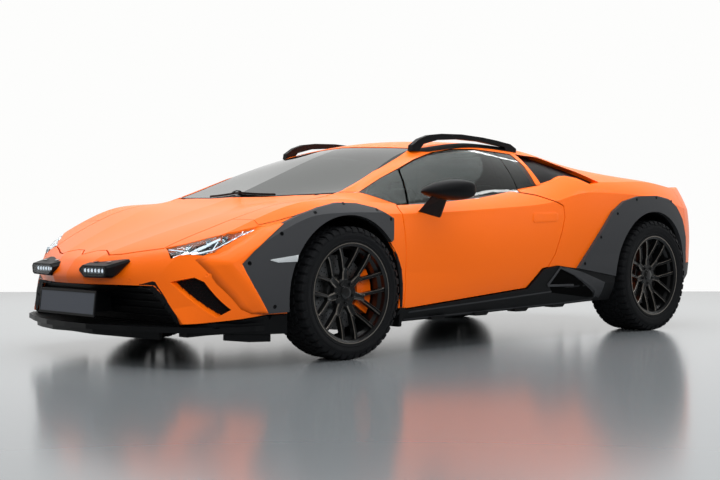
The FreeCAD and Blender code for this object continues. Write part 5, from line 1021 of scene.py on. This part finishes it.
def make_nose_lamps():
    """Housings with a recessed window and a row of small lit reflector cells."""
    housings = Shape()
    front = LAMP_FRONT_X
    floor = front - LAMP_WINDOW_DEPTH
    inset = scaled(LAMP_FRONT, NOSE_LAMP_MIDDLE, 0.90, 0.78)
    back = scaled(LAMP_FRONT, (NOSE_LAMP_MIDDLE[0], 453), 0.88, 0.70)
    for name, side in SIDES.items():
        housings.loft([lamp_ring(outline, x, side) for outline, x in (
            (back, floor), (inset, front - 1), (inset, front), (LAMP_FRONT, front - 2),
            (LAMP_MIDDLE, front - 40), (LAMP_REAR, LAMP_REAR_X))])
        cells = Shape()
        emitters = Shape()
        for y in LAMP_CELL_PLACES:
            cells.loft([[lamp_point(floor + depth, y, LAMP_CELL_HEIGHT + b * tall, side, a * wide)
                         for a, b in CLIPPED_SQUARE] for depth, wide, tall in LAMP_CELL_RINGS])
            emitters.loft([[lamp_point(floor + depth, y, LAMP_CELL_HEIGHT + EMITTER_RADIUS * b, side,
                                       EMITTER_RADIUS * a) for a, b in circle(8)] for depth in (2, 4.4)])
        cells.make_bevelled("nose_lamp_cells_" + name, LAMP_REFLECTOR, 0.5, 1)
        emitters.make("nose_lamp_emitters_" + name, LAMP_LIGHT, flat=True)
        window = Shape().loft([lamp_ring(inset, front - 3.6, side), lamp_ring(inset, front - 1.2, side)])
        window.make("nose_lamp_window_" + name, LAMP_CLEAR, flat=True)
        slots = Shape()
        for y in LAMP_SLOT_PLACES:
            slots.loft([[mm(x, side * (y + LAMP_SHIFT + a * LAMP_SLOT_HALF), z + lift)
                         for x, z, a in ((2206, 496.99, -1), (2206, 496.99, 1), (2190, 501.182, 1),
                                         (2190, 501.182, -1))] for lift in (-2, 0.5)])
        slots.make("nose_lamp_slots_" + name, ("polished_black_abs", "chassis", "gloss_black"), flat=True)
    made = housings.make("nose_lamp_housings", BLACK_GLOSS, flat=True)
    modify(made, "BEVEL", width=2.2 * MM, segments=3, limit_method="ANGLE", angle_limit=math.radians(25))
    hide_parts("aux_lamps")


def make_tail():
    """Honeycomb over the tail panel and tips on the two pipes."""
    pipe = lathe([(58.5, 0), (60, -3), (60, -42), (58.5, -44), (55.5, -44), (55, 0)], 64)
    for name, side in SIDES.items():
        hex_mesh("tail_mesh_" + name, TAIL_OUTLINE, "tail_panel", "rear", side, 3, 0.030, 0.004, BLACK_GLOSS)
        matrix = Matrix.Translation(mm(PIPE_END, side * PIPE_REACH, PIPE_HEIGHT)) @ Matrix.Rotation(
            math.radians(90), 4, "Z")
        pipe.moved(matrix).make_split("pipe_tip_" + name, ("brushed_stainless_steel", "chassis", "exhaust_steel"))


# Nose and body trim
def round_button(name, hit, radius, height, recess, look):
    """Small round piece with a hollow face that stands on a surface where a ray met it."""
    shape = lathe([(radius, -height), (radius, height * 0.6), (radius * 0.9, height), (radius * 0.62, height),
                   (radius * 0.58, height - recess), (0.01, height - recess), (0.01, -height)], 24)
    point, normal = hit
    turn = Vector((0, 1, 0)).rotation_difference(normal).to_matrix().to_4x4()
    shape.moved(Matrix.Translation(point) @ turn).make_split(name, look)


def make_chin(name, side):
    """Lower corner of the nose with a strake under it."""
    end = Shape().loft([[mm(x, side * y, z) for y, z in (
        (outer - 4, low), (outer, low + 12), (outer, high), (outer - 70, high), (outer - 70, low))]
        for x, outer, low, high in CHIN_END])
    end.make_bevelled("chin_end_" + name, BLACK_TRIM, 4, 3)
    strake = Shape().loft([[mm(x, side * y, z) for y, z in (
        (outer - 14, low), (outer, low), (outer, 170), (outer - 14, 170))] for x, outer, low in CHIN_STRAKE])
    strake.make_bevelled("chin_strake_" + name, BLACK_TRIM, 3)


def make_chin_lip():
    """Lip that hangs under the middle of the chin."""
    rings = []
    for step in range(-LIP_STEPS, LIP_STEPS + 1):
        y = step * LIP_PITCH * MM
        front = fall("front_chin", "front", 1, y, LIP_TOP * MM)
        if front is None:
            continue
        x = front[0].x / MM - LIP_SETBACK
        low = LIP_LOW + LIP_RISE * (1 - abs(step) / LIP_STEPS)
        rings.append([mm(x + a, y / MM, z) for a, z in ((-8, low), (8, low), (14, LIP_TOP + 1), (-14, LIP_TOP + 1))])
    if len(rings) < 2:
        raise RuntimeError("The lip misses the chin")
    Shape().loft(rings).make_bevelled("chin_lip", BLACK_TRIM, 3)


def make_nose_trim(sizes):
    """Chin, honeycomb in the side vents, parking sensors and the frame round the blank plate."""
    make_chin_lip()
    for name, side in SIDES.items():
        make_chin(name, side)
        # Dark plate of black plastic and painted shade that widens the nose opening
        fitted_plate("opening_black_and_shade_" + name, OPENING_BLACK_AND_SHADE, "front_bumper", "front", side, 2, 4, 16, BLACK_TRIM)
        hex_mesh("vent_mesh_" + name, VENT_OUTLINE, "front_grille", "front", side, 9, sizes.mesh_cell, 0.0028,
                 BLACK_TRIM)
        for index, (y, z) in enumerate(SENSOR_PLACES):
            round_button("sensor_%s_%d" % (name, index + 1), sure_fall("front_bumper", "front", side, y, z),
                         11.5, 0.9, 0.3, PAINTED)
    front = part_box("front_grille")[1].x
    lean = math.tan(math.radians(PLATE_LEAN))

    def plate_ring(out, depth):
        """Corners of the plate, drawn out by a distance and lifted by a depth."""
        corners = []
        for a, b in SQUARE:
            z = PLATE_LOW - out if b < 0 else PLATE_HIGH + out
            corners.append(Vector((front - (z - PLATE_LOW) * MM * lean + depth * MM,
                                   a * (PLATE_HALF_WIDTH + out) * MM, z * MM)))
        return corners

    blank = Shape().loft([plate_ring(-5, depth) for depth in (-1, 1.2)])
    blank.make_bevelled("plate_blank", ("primed_aluminium_sheet", "chassis", "moulded_plastic"), 0.4, 1)
    edges = [plate_ring(5, -4), plate_ring(5, 2.2), plate_ring(-7, 2.8), plate_ring(-7, 0.4)]
    rim = Shape().loft([list(corner) for corner in zip(*edges)], closed_path=True)
    rim.make_bevelled("plate_frame", BLACK_TRIM, 1)


def make_corner(name, side):
    """Painted corner that laps over the front end of the flare."""
    rows = 5
    steps = 4
    spans = len(CORNER_START) - 1
    places = []
    laps = [[] for _ in CORNER_LAPS]
    for index in range(spans):
        for step in range(steps + (index == spans - 1)):
            start, edge, way = (Vector(table[index]).lerp(Vector(table[index + 1]), step / steps) * MM
                                for table in (CORNER_START, CORNER_EDGE, CORNER_WAYS))
            places.append([tuple(start.lerp(edge, row / (rows - 1) * CORNER_REACH)) for row in range(rows)])
            for lap, share in zip(laps, CORNER_LAPS):
                lap.append(tuple(edge + way * share))
    columns = [fitted_vertices([place[row] for place in places], "arch_flares", "side", side, CORNER_LIFT * MM)
               for row in range(rows)]
    nose = [fitted_vertices(lap, ("front_bumper", "fender_" + name), "side", side, 0.5 * MM) for lap in laps]
    rises = [side * (edge.y - low.y) for edge, low in zip(columns[-1], nose[0])]
    columns += [[point + Vector((0, side * rise * (1 - share) ** CORNER_FADE, 0)) for point, rise in zip(lap, rises)]
                for lap, share in zip(nose[1:], CORNER_LAPS[1:])]
    for column in columns[rows:]:
        for point in column:
            hit = fall("arch_flares", "side", side, point.x, point.z)
            if hit:
                point.y = side * max(side * point.y, side * hit[0].y + CORNER_LIFT * MM)
    count = len(places)
    vertices = [point for column in columns for point in column]
    faces = [(row * count + index, row * count + index + 1, (row + 1) * count + index + 1, (row + 1) * count + index)
             for row in range(len(columns) - 1) for index in range(count - 1)]
    sheet("nose_corner_" + name, vertices, faces, Vector((0, -side, 0)), CORNER_LIFT, PAINTED)


def make_flare_trim(sizes):
    """Painted front corners, bolts and clear side markers on the wheel arch flares."""
    for name, side in SIDES.items():
        make_corner(name, side)
        for index, (x, z) in enumerate(FRONT_BOLTS + REAR_BOLTS):
            hit = fall("arch_flares", "side", side, x * MM, z * MM)
            if hit:
                round_button("flare_bolt_%s_%d" % (name, index + 1), hit, sizes.bolt_radius / MM, 1.4, 1.2, DARK_STEEL)
        fitted_plate("side_marker_" + name, MARKER_OUTLINE, "arch_flares", "side", side, 2, 3, 20,
                     ("prismatic_polycarbonate", "chassis", "lamp_glass"))


def make_side_trim():
    """Door handles, brake scoops, skirt lines, arch edges and flaps, and the fins under the sills."""
    skirt = "side_skirts"
    for name, side in SIDES.items():
        plates = [
            ("door_handle_" + name, HANDLE_OUTLINE, "door_" + name, 2, 3, 16,
             ("lacquered_base_coat", name + "_door", "orange_paint")),
            # Near-black plate of painted shade, lifted 1 mm off the skirt, where the scoop's depth looks dark
            ("scoop_painted_shade_" + name, SCOOP_OUTLINE, skirt, 1, 2, 30,
             ("painted_shade_black", "chassis", "gloss_black")),
            ("scoop_edge_" + name, stroke_outline(SCOOP_FRAME, 12), skirt, 6, 7, 20, GREY_TRIM),
            ("scoop_vane_" + name, stroke_outline(SCOOP_VANE, 13), skirt, 6, 6, 30, GREY_TRIM),
            ("skirt_panel_" + name, SKIRT_PANEL, skirt, 2, 3, 30, GREY_TRIM),
            ("arch_edge_" + name, ARCH_EDGE, "fender_" + name, 1.5, 3, 20, BLACK_TRIM)]
        for index, points in enumerate(SILL_LINES):
            plates.append(("sill_line_%s_%d" % (name, index + 1), stroke_outline(points, 8), skirt, 2, 3, 40,
                           GREY_TRIM))
        for title, outline, node, lift, thickness, cell, look in plates:
            fitted_plate(title, outline, node, "side", side, lift, thickness, cell, look)
        flap = Shape().loft([[mm(x, side * y, z) for y, z in ARCH_FLAP] for x in (775, 799)])
        flap.make_bevelled("arch_flap_" + name, BLACK_TRIM, 4)
        fins = Shape()
        for x in SILL_FIN_PLACES:
            under = surface_of(skirt).ray_cast(mm(x, side * 846, 0), Vector((0, 0, 1)))[0]
            if under is not None:
                z = under.z / MM
                fins.loft([[mm(a, side * y, b) for a, b in (
                    (x - 62, z + 4), (x - 40, z - 13), (x + 50, z - 13), (x + 66, z + 4))] for y in (800, 868)])
        if fins.faces:
            fins.make_bevelled("sill_fins_" + name, BLACK_TRIM, 2)


def make_mirrors():
    """Smooth mirror heads with silvered glass, on blade-shaped stalks."""
    near, far = MIRROR_STALK_REACH
    outline = [tuple(middle + half * math.copysign(abs(part) ** GLASS_SQUARENESS, part)
                     for middle, half, part in zip(GLASS_MIDDLE, GLASS_HALF_SIZE, parts)) for parts in circle(28)]
    for name, side in SIDES.items():
        body = name + "_door"
        shape = Shape().loft([[mm(rear + a * (front - rear), side * y, low + b * (high - low))
                               for a, b in MIRROR_OUTLINE] for y, rear, front, low, high in MIRROR_SECTIONS])
        head = shape.make("mirror_head_" + name, ("moulded_black_polypropylene", body, "gloss_black"))
        modify(head, "SUBSURF", levels=2, render_levels=2)
        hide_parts("mirror_" + name)
        stalk = Shape().loft([[mm(x, side * y, z) for x, z in section] for y, section in (
            (near - 12, MIRROR_FOOT), (near, MIRROR_FOOT), (far, MIRROR_NECK))])
        stalk.make_bevelled("mirror_stalk_" + name, ("moulded_black_polypropylene", body, "gloss_black"), 6, 3)
        glass = Shape().loft([[mm(x, side * y, z) for y, z in outline] for x in (427, 419)])
        glass.make_bevelled("mirror_glass_" + name, ("silvered_glass", body, "gloss_black"), 1.5)


def make_wiper():
    """Wiper arm and blade that lie on the foot of the windscreen."""
    hits = [fall("windscreen", "top", 1, (WIPER_PLACE - WIPER_BOW * y ** 2) * MM, y * MM)
            for y in range(-420, 301, 40)]
    hits = [hit for hit in hits if hit]
    if len(hits) < 4:
        raise RuntimeError("The wiper misses the windscreen")
    rings = []
    for point, normal in hits:
        base = point + normal * 2 * MM
        across = Vector((1, 0, 0)) - normal * normal.x
        across.normalize()
        rings.append([base - across * 5 * MM, base - across * 2 * MM + normal * 11 * MM,
                      base + across * 2 * MM + normal * 11 * MM, base + across * 5 * MM])
    Shape().loft(rings).make_bevelled("wiper_blade", BLACK_TRIM, 1)
    middle, normal = hits[len(hits) // 2]
    foot = fall("scuttle", "top", 1, 1.165, -0.05)
    start = foot[0] if foot else middle + Vector((0.06, 0, -0.01))
    rings = []
    for share in (0, 0.25, 0.5, 0.75, 1):
        point = start.lerp(middle, share) + normal * (14 + 10 * math.sin(math.pi * share)) * MM
        half = 11.0 - 5.0 * share
        rings.append([point + mm(0, y * half, z) for y, z in ((-1, -3), (-0.8, 3), (0.8, 3), (1, -3))])
    Shape().loft(rings).make_bevelled("wiper_arm", DARK_STEEL, 1)


# Cabin
def swept_pad(name, path, half_widths, thickness, middle_y, crown, finish_name):
    """Crowned pad along a path seen from the side, with rounded edges and a soft face."""
    section = ((-1, -0.5), (-1.04, 0), (-0.92, 0.42), (-0.5, 0.5 + crown * 0.7), (0, 0.5 + crown),
               (0.5, 0.5 + crown * 0.7), (0.92, 0.42), (1.04, 0), (1, -0.5), (0, -0.5))
    rings = []
    for index, ((x, z), half) in enumerate(zip(path, half_widths)):
        way = heading(path, index)
        up = Vector((way.y, -way.x))
        if up.x < 0 and abs(way.y) > abs(way.x):
            up = -up
        if up.y < 0 and abs(way.x) >= abs(way.y):
            up = -up
        ring = []
        for across, rise in section:
            offset = up * rise * thickness
            ring.append(mm(x + offset.x, middle_y + across * half, z + offset.y))
        rings.append(ring)
    pad = Shape().loft(rings).make(name, (finish_name, "chassis", "seat_leather"))
    modify(pad, "SUBSURF", levels=2, render_levels=2)
    return pad


def make_seats():
    """Bucket seats with crowned pads, bolsters, shells and slides."""
    for name, side in SIDES.items():
        y = side * SEAT_PLACE
        base = swept_pad("seat_cushion_" + name, SEAT_BASE_PATH, (150, 158, 160, 158, 150), 62, y, PAD_CROWN,
                         "napped_microfibre")
        back = swept_pad("seat_back_" + name, SEAT_BACK_PATH, (150, 158, 165, 158, 125, 95), 58, y, PAD_CROWN,
                         "napped_microfibre")
        if side > 0:
            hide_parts("seats")
        for edge in (-1, 1):
            title = "seat_bolster_%s_%s" % (name, "outer" if edge * side > 0 else "inner")
            bolster = swept_pad(title, SEAT_SIDE_PATH, (24, 28, 30, 31, 31, 29, 22), 96, y + edge * BOLSTER_REACH,
                                BOLSTER_CROWN, "full_grain_leather")
        shell = Shape().loft([[mm(x + a * 8, y + b * half, z + a * 12) for a, b in SQUARE]
                              for x, z, half in SEAT_SHELL])
        shell.make_bevelled("seat_shell_" + name, ("polished_black_abs", "chassis", "seat_leather"), 5, 3)
        slides = Shape()
        for rail in (-150, 150):
            slides.loft([[mm(x, y + rail + a * 16, b) for a, b in ((-1, 240.5), (1, 240.5), (1, 292), (-1, 292))]
                         for x in (-330, 90)])
        slides.make_bevelled("seat_slides_" + name, ("blackened_bolt_steel", "chassis", "arm_steel"), 2)


def make_hand_wheel():
    """Leather-covered wheel with three spokes and a soft centre pad."""
    # From the wheel's own centre, axis +Y down the column, to its place
    matrix = Matrix.Translation(Vector((0.410, 0.370, 0.715))) @ (
        Matrix.Rotation(math.radians(22), 4, "Y") @ Matrix.Rotation(math.radians(-90), 4, "Z"))
    grip = lathe([(172.0 + 15.5 * a, 15.5 * b) for a, b in circle(16)], 72)
    ring = grip.moved(matrix).make("hand_wheel_grip", ("full_grain_leather", "hand_wheel", "cabin_plastic"))
    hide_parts("steering_wheel")
    centre = lathe([(0.01, -10), (40, -10), (52, -6), (55, 4), (50, 26), (14, 29),
                    (13, 169), (0.01, 169)], 48)
    bar = Shape().loft([[mm(x, a * thick, b * half) for a, b in (
        (-1, -0.8), (-1, 0.8), (-0.4, 1), (0.4, 1), (1, 0.8), (1, -0.8), (0.4, -1), (-0.4, -1))]
        for x, half, thick in ((40, 20, 7), (90, 15, 6), (130, 14, 6), (166, 18, 7))])
    for angle in (0, 90, 180):
        centre.join(bar.moved(Matrix.Rotation(math.radians(angle), 4, "Y")))
    centre.moved(matrix).make_split("hand_wheel_centre", ("slush_moulded_vinyl", "hand_wheel", "cabin_plastic"))


def make_dash_trim():
    """Instrument hood and centre screen."""
    hood = Shape().loft([[mm(x, 370.0 + a * half, low + b * (high - low)) for a, b in (
        (-1, 0), (-0.9, 0.6), (-0.6, 0.95), (0, 1.05), (0.6, 0.95), (0.9, 0.6), (1, 0))]
        for x, half, low, high in ((700, 150, 745, 800), (760, 165, 770, 826),
                                   (840, 150, 785, 832), (900, 110, 790, 822))])
    made = hood.make("instrument_hood", ("full_grain_leather", "chassis", "cabin_plastic"))
    modify(made, "SUBSURF", levels=2, render_levels=2)
    screen = Shape().loft([[mm(x, a * 95, 560.0 + b * 75) for a, b in SQUARE] for x in (652, 628)])
    screen.make_bevelled("centre_screen", ("polished_black_abs", "chassis", "cabin_plastic"), 4, 3)


# Stage
def make_floor(colour):
    """Floor whose edges run along and across the camera's view."""
    mesh = bpy.data.meshes.new("floor")
    right = Vector(CAMERA_RIGHT).to_2d().normalized()
    ahead = Vector((right.y, -right.x))
    if ahead.dot(Vector(CAMERA_PLACE).to_2d()) > 0:
        ahead = -ahead
    corners = []
    for a, b in SQUARE:
        spot = right * a * FLOOR_HALF_SIZE[0] + ahead * b * FLOOR_HALF_SIZE[1]
        corners.append((spot.x, spot.y, 0.0))
    mesh.from_pydata(corners, [], [(0, 1, 2, 3)])
    material = bpy.data.materials.new("polished_concrete")
    material.use_nodes = True
    tree = material.node_tree
    tree.nodes.clear()
    surface = add_node(tree, "ShaderNodeBsdfPrincipled", {"Base Color": linear(colour), "Roughness": 0.16})
    add_node(tree, "ShaderNodeOutputMaterial", links={"Surface": surface.outputs["BSDF"]})
    mesh.materials.append(material)
    floor = bpy.data.objects.new("floor", mesh)
    bpy.context.scene.collection.objects.link(floor)


def make_lights(studio):
    """Broad light overhead, soft lights at the sides and three tubes that show in the paint."""
    tube = (9.0, 0.10, studio.strip_power, True)
    half_power = studio.side_power * 0.5
    # Name, place, point it looks at, width, depth, power and whether it shows in reflections
    lights = (("ceiling", (0.0, 0.0, 4.4), None, 7.0, 5.0, studio.key_power, False),
              ("front_side", (3.2, 5.4, 2.4), (0.3, 0.3, 0.5), 4.0, 2.2, studio.side_power, False),
              ("rear_side", (-5.0, 3.6, 2.4), (-0.8, 0.2, 0.5), 3.0, 1.8, half_power, False),
              ("far_side", (0.5, -5.0, 2.6), (0.0, 0.0, 0.5), 4.0, 1.8, half_power, False),
              ("strip_left", (0.0, 2.3, 3.3), None) + tube, ("strip_middle", (0.0, 0.2, 3.3), None) + tube,
              ("strip_right", (0.0, -1.9, 3.3), None) + tube)
    for name, place, target, wide, deep, power, mirrored in lights:
        data = bpy.data.lights.new(name, "AREA")
        data.shape = "RECTANGLE"
        data.size = wide
        data.size_y = deep
        data.energy = power
        lamp = bpy.data.objects.new(name, data)
        lamp.location = place
        if target:
            lamp.rotation_euler = (Vector(target) - Vector(place)).to_track_quat("-Z", "Y").to_euler()
        lamp.visible_glossy = mirrored
        bpy.context.scene.collection.objects.link(lamp)


def make_room(studio):
    """Pale room: soft light all round, and a wall that is dim behind the camera and white ahead of it."""
    world = bpy.data.worlds.new("room")
    bpy.context.scene.world = world
    world.use_nodes = True
    tree = world.node_tree
    tree.nodes.clear()
    path = add_node(tree, "ShaderNodeLightPath").outputs
    seen = add_node(tree, "ShaderNodeMath", {"operation": "MAXIMUM"},
                    {0: path["Is Camera Ray"], 1: path["Is Transmission Ray"]})
    both = add_node(tree, "ShaderNodeMath", {"operation": "MAXIMUM"}, {0: seen.outputs[0], 1: path["Is Glossy Ray"]})
    way = add_node(tree, "ShaderNodeTexCoord").outputs["Generated"]
    depth = add_node(tree, "ShaderNodeVectorMath", {"operation": "DOT_PRODUCT"}, {0: way})
    depth.inputs[1].default_value = ROOM_AHEAD
    strength = add_node(tree, "ShaderNodeMapRange",
                        {"From Min": 0.0, "From Max": 0.6, "To Min": studio.near_wall, "To Max": 1.0},
                        {"Value": depth.outputs["Value"]})
    light = add_node(tree, "ShaderNodeBackground", {"Color": linear("#FBFBFA"), "Strength": studio.sky})
    wall = add_node(tree, "ShaderNodeBackground", {"Color": linear("#FDFDFC")},
                    {"Strength": strength.outputs["Result"]})
    mix = add_node(tree, "ShaderNodeMixShader",
                   links={0: both.outputs[0], 1: light.outputs[0], 2: wall.outputs[0]})
    add_node(tree, "ShaderNodeOutputWorld", links={"Surface": mix.outputs[0]})


def make_camera():
    """Camera where the photograph was taken."""
    data = bpy.data.cameras.new("photo_camera")
    data.lens = CAMERA_LENS
    data.sensor_width = CAMERA_SENSOR
    camera = bpy.data.objects.new("photo_camera", data)
    right = Vector(CAMERA_RIGHT)
    up = Vector(CAMERA_UP)
    matrix = Matrix((right, up, right.cross(up))).transposed().to_4x4()
    matrix.translation = Vector(CAMERA_PLACE)
    camera.matrix_world = matrix
    bpy.context.scene.collection.objects.link(camera)
    bpy.context.scene.camera = camera


def make_stage(studio):
    """Floor, soft lights, pale room and the camera."""
    make_floor(tuple(studio.floor))
    make_lights(studio)
    make_room(studio)
    bpy.context.scene.view_settings.view_transform = "Standard"
    make_camera()


# Operators
class SUPERCAR_OT_finishes(bpy.types.Operator):
    """Make the finishes and give them to the frame."""
    bl_idname = "supercar.finishes"
    bl_label = "Finishes"

    def execute(self, context):
        make_finishes(context.scene.supercar_colours, context.scene.supercar_trim.lit_lamps)
        dress_frame()
        return {"FINISHED"}


class SUPERCAR_OT_tyres(bpy.types.Operator):
    """Make the four treaded tyres."""
    bl_idname = "supercar.tyres"
    bl_label = "Tyres"

    def execute(self, context):
        make_tyres(context.scene.supercar_wheels)
        return {"FINISHED"}


class SUPERCAR_OT_wheels(bpy.types.Operator):
    """Make the four forked-spoke wheels."""
    bl_idname = "supercar.wheels"
    bl_label = "Wheels"

    def execute(self, context):
        make_wheels(context.scene.supercar_wheels)
        return {"FINISHED"}


class SUPERCAR_OT_brakes(bpy.types.Operator):
    """Make the drilled discs and the caliper details."""
    bl_idname = "supercar.brakes"
    bl_label = "Brakes"

    def execute(self, context):
        make_brakes(context.scene.supercar_wheels)
        return {"FINISHED"}


class SUPERCAR_OT_headlamps(bpy.types.Operator):
    """Make the headlamp covers, housings, bowls and running lights."""
    bl_idname = "supercar.headlamps"
    bl_label = "Headlamps"

    def execute(self, context):
        make_headlamps()
        return {"FINISHED"}


class SUPERCAR_OT_nose_lamps(bpy.types.Operator):
    """Make the housings, reflector cells and windows of the two nose lamps."""
    bl_idname = "supercar.nose_lamps"
    bl_label = "Nose lamps"

    def execute(self, context):
        make_nose_lamps()
        return {"FINISHED"}


class SUPERCAR_OT_tail(bpy.types.Operator):
    """Make the tail mesh and the pipe tips."""
    bl_idname = "supercar.tail"
    bl_label = "Tail"

    def execute(self, context):
        make_tail()
        return {"FINISHED"}


class SUPERCAR_OT_nose_trim(bpy.types.Operator):
    """Make the chin, vent mesh, sensors, blank plate and its frame."""
    bl_idname = "supercar.nose_trim"
    bl_label = "Nose trim"

    def execute(self, context):
        make_nose_trim(context.scene.supercar_trim)
        return {"FINISHED"}


class SUPERCAR_OT_flare_trim(bpy.types.Operator):
    """Make the painted flare corners, bolts and side markers."""
    bl_idname = "supercar.flare_trim"
    bl_label = "Flare trim"

    def execute(self, context):
        make_flare_trim(context.scene.supercar_trim)
        return {"FINISHED"}


class SUPERCAR_OT_side_trim(bpy.types.Operator):
    """Make the door handles, scoops, skirt and arch pieces and sill fins."""
    bl_idname = "supercar.side_trim"
    bl_label = "Side trim"

    def execute(self, context):
        make_side_trim()
        return {"FINISHED"}


class SUPERCAR_OT_mirrors(bpy.types.Operator):
    """Make the door mirrors."""
    bl_idname = "supercar.mirrors"
    bl_label = "Mirrors"

    def execute(self, context):
        make_mirrors()
        return {"FINISHED"}


class SUPERCAR_OT_wiper(bpy.types.Operator):
    """Make the wiper."""
    bl_idname = "supercar.wiper"
    bl_label = "Wiper"

    def execute(self, context):
        make_wiper()
        return {"FINISHED"}


class SUPERCAR_OT_seats(bpy.types.Operator):
    """Make the two bucket seats."""
    bl_idname = "supercar.seats"
    bl_label = "Seats"

    def execute(self, context):
        make_seats()
        return {"FINISHED"}


class SUPERCAR_OT_controls(bpy.types.Operator):
    """Make the hand wheel and the dash trim."""
    bl_idname = "supercar.controls"
    bl_label = "Hand wheel and dash"

    def execute(self, context):
        make_hand_wheel()
        make_dash_trim()
        return {"FINISHED"}


class SUPERCAR_OT_stage(bpy.types.Operator):
    """Make the floor, the lights and the camera."""
    bl_idname = "supercar.stage"
    bl_label = "Stage"

    def execute(self, context):
        make_stage(context.scene.supercar_studio)
        return {"FINISHED"}


class SUPERCAR_PT_panel(bpy.types.Panel):
    """Sidebar panel with all settings and steps."""
    bl_idname = "SUPERCAR_PT_panel"
    bl_label = "Supercar"
    bl_space_type = "VIEW_3D"
    bl_region_type = "UI"
    bl_category = "Supercar"

    def draw(self, context):
        scene = context.scene
        for group in (scene.supercar_colours, scene.supercar_wheels, scene.supercar_trim, scene.supercar_studio):
            box = self.layout.box()
            for key in group.__annotations__:
                box.prop(group, key)
        for step in STEPS:
            self.layout.operator(step.bl_idname)


GROUPS = (
    ("supercar_colours", SupercarColours), ("supercar_wheels", SupercarWheels), ("supercar_trim", SupercarTrim),
    ("supercar_studio", SupercarStudio))
STEPS = (
    SUPERCAR_OT_finishes, SUPERCAR_OT_tyres, SUPERCAR_OT_wheels, SUPERCAR_OT_brakes, SUPERCAR_OT_headlamps,
    SUPERCAR_OT_nose_lamps, SUPERCAR_OT_tail, SUPERCAR_OT_nose_trim, SUPERCAR_OT_flare_trim,
    SUPERCAR_OT_side_trim, SUPERCAR_OT_mirrors, SUPERCAR_OT_wiper, SUPERCAR_OT_seats, SUPERCAR_OT_controls,
    SUPERCAR_OT_stage)


def register():
    """Register the settings, steps and panel."""
    for key, group in GROUPS:
        bpy.utils.register_class(group)
        setattr(bpy.types.Scene, key, PointerProperty(type=group))
    for step in STEPS:
        bpy.utils.register_class(step)
    bpy.utils.register_class(SUPERCAR_PT_panel)


def unregister():
    """Take the panel, steps and settings out again."""
    bpy.utils.unregister_class(SUPERCAR_PT_panel)
    for step in reversed(STEPS):
        bpy.utils.unregister_class(step)
    for key, group in reversed(GROUPS):
        delattr(bpy.types.Scene, key)
        bpy.utils.unregister_class(group)


def main():
    """Build all looks in order."""
    register()
    for step in STEPS:
        category, name = step.bl_idname.split(".")
        getattr(getattr(bpy.ops, category), name)()


if __name__ == "__main__":
    main()
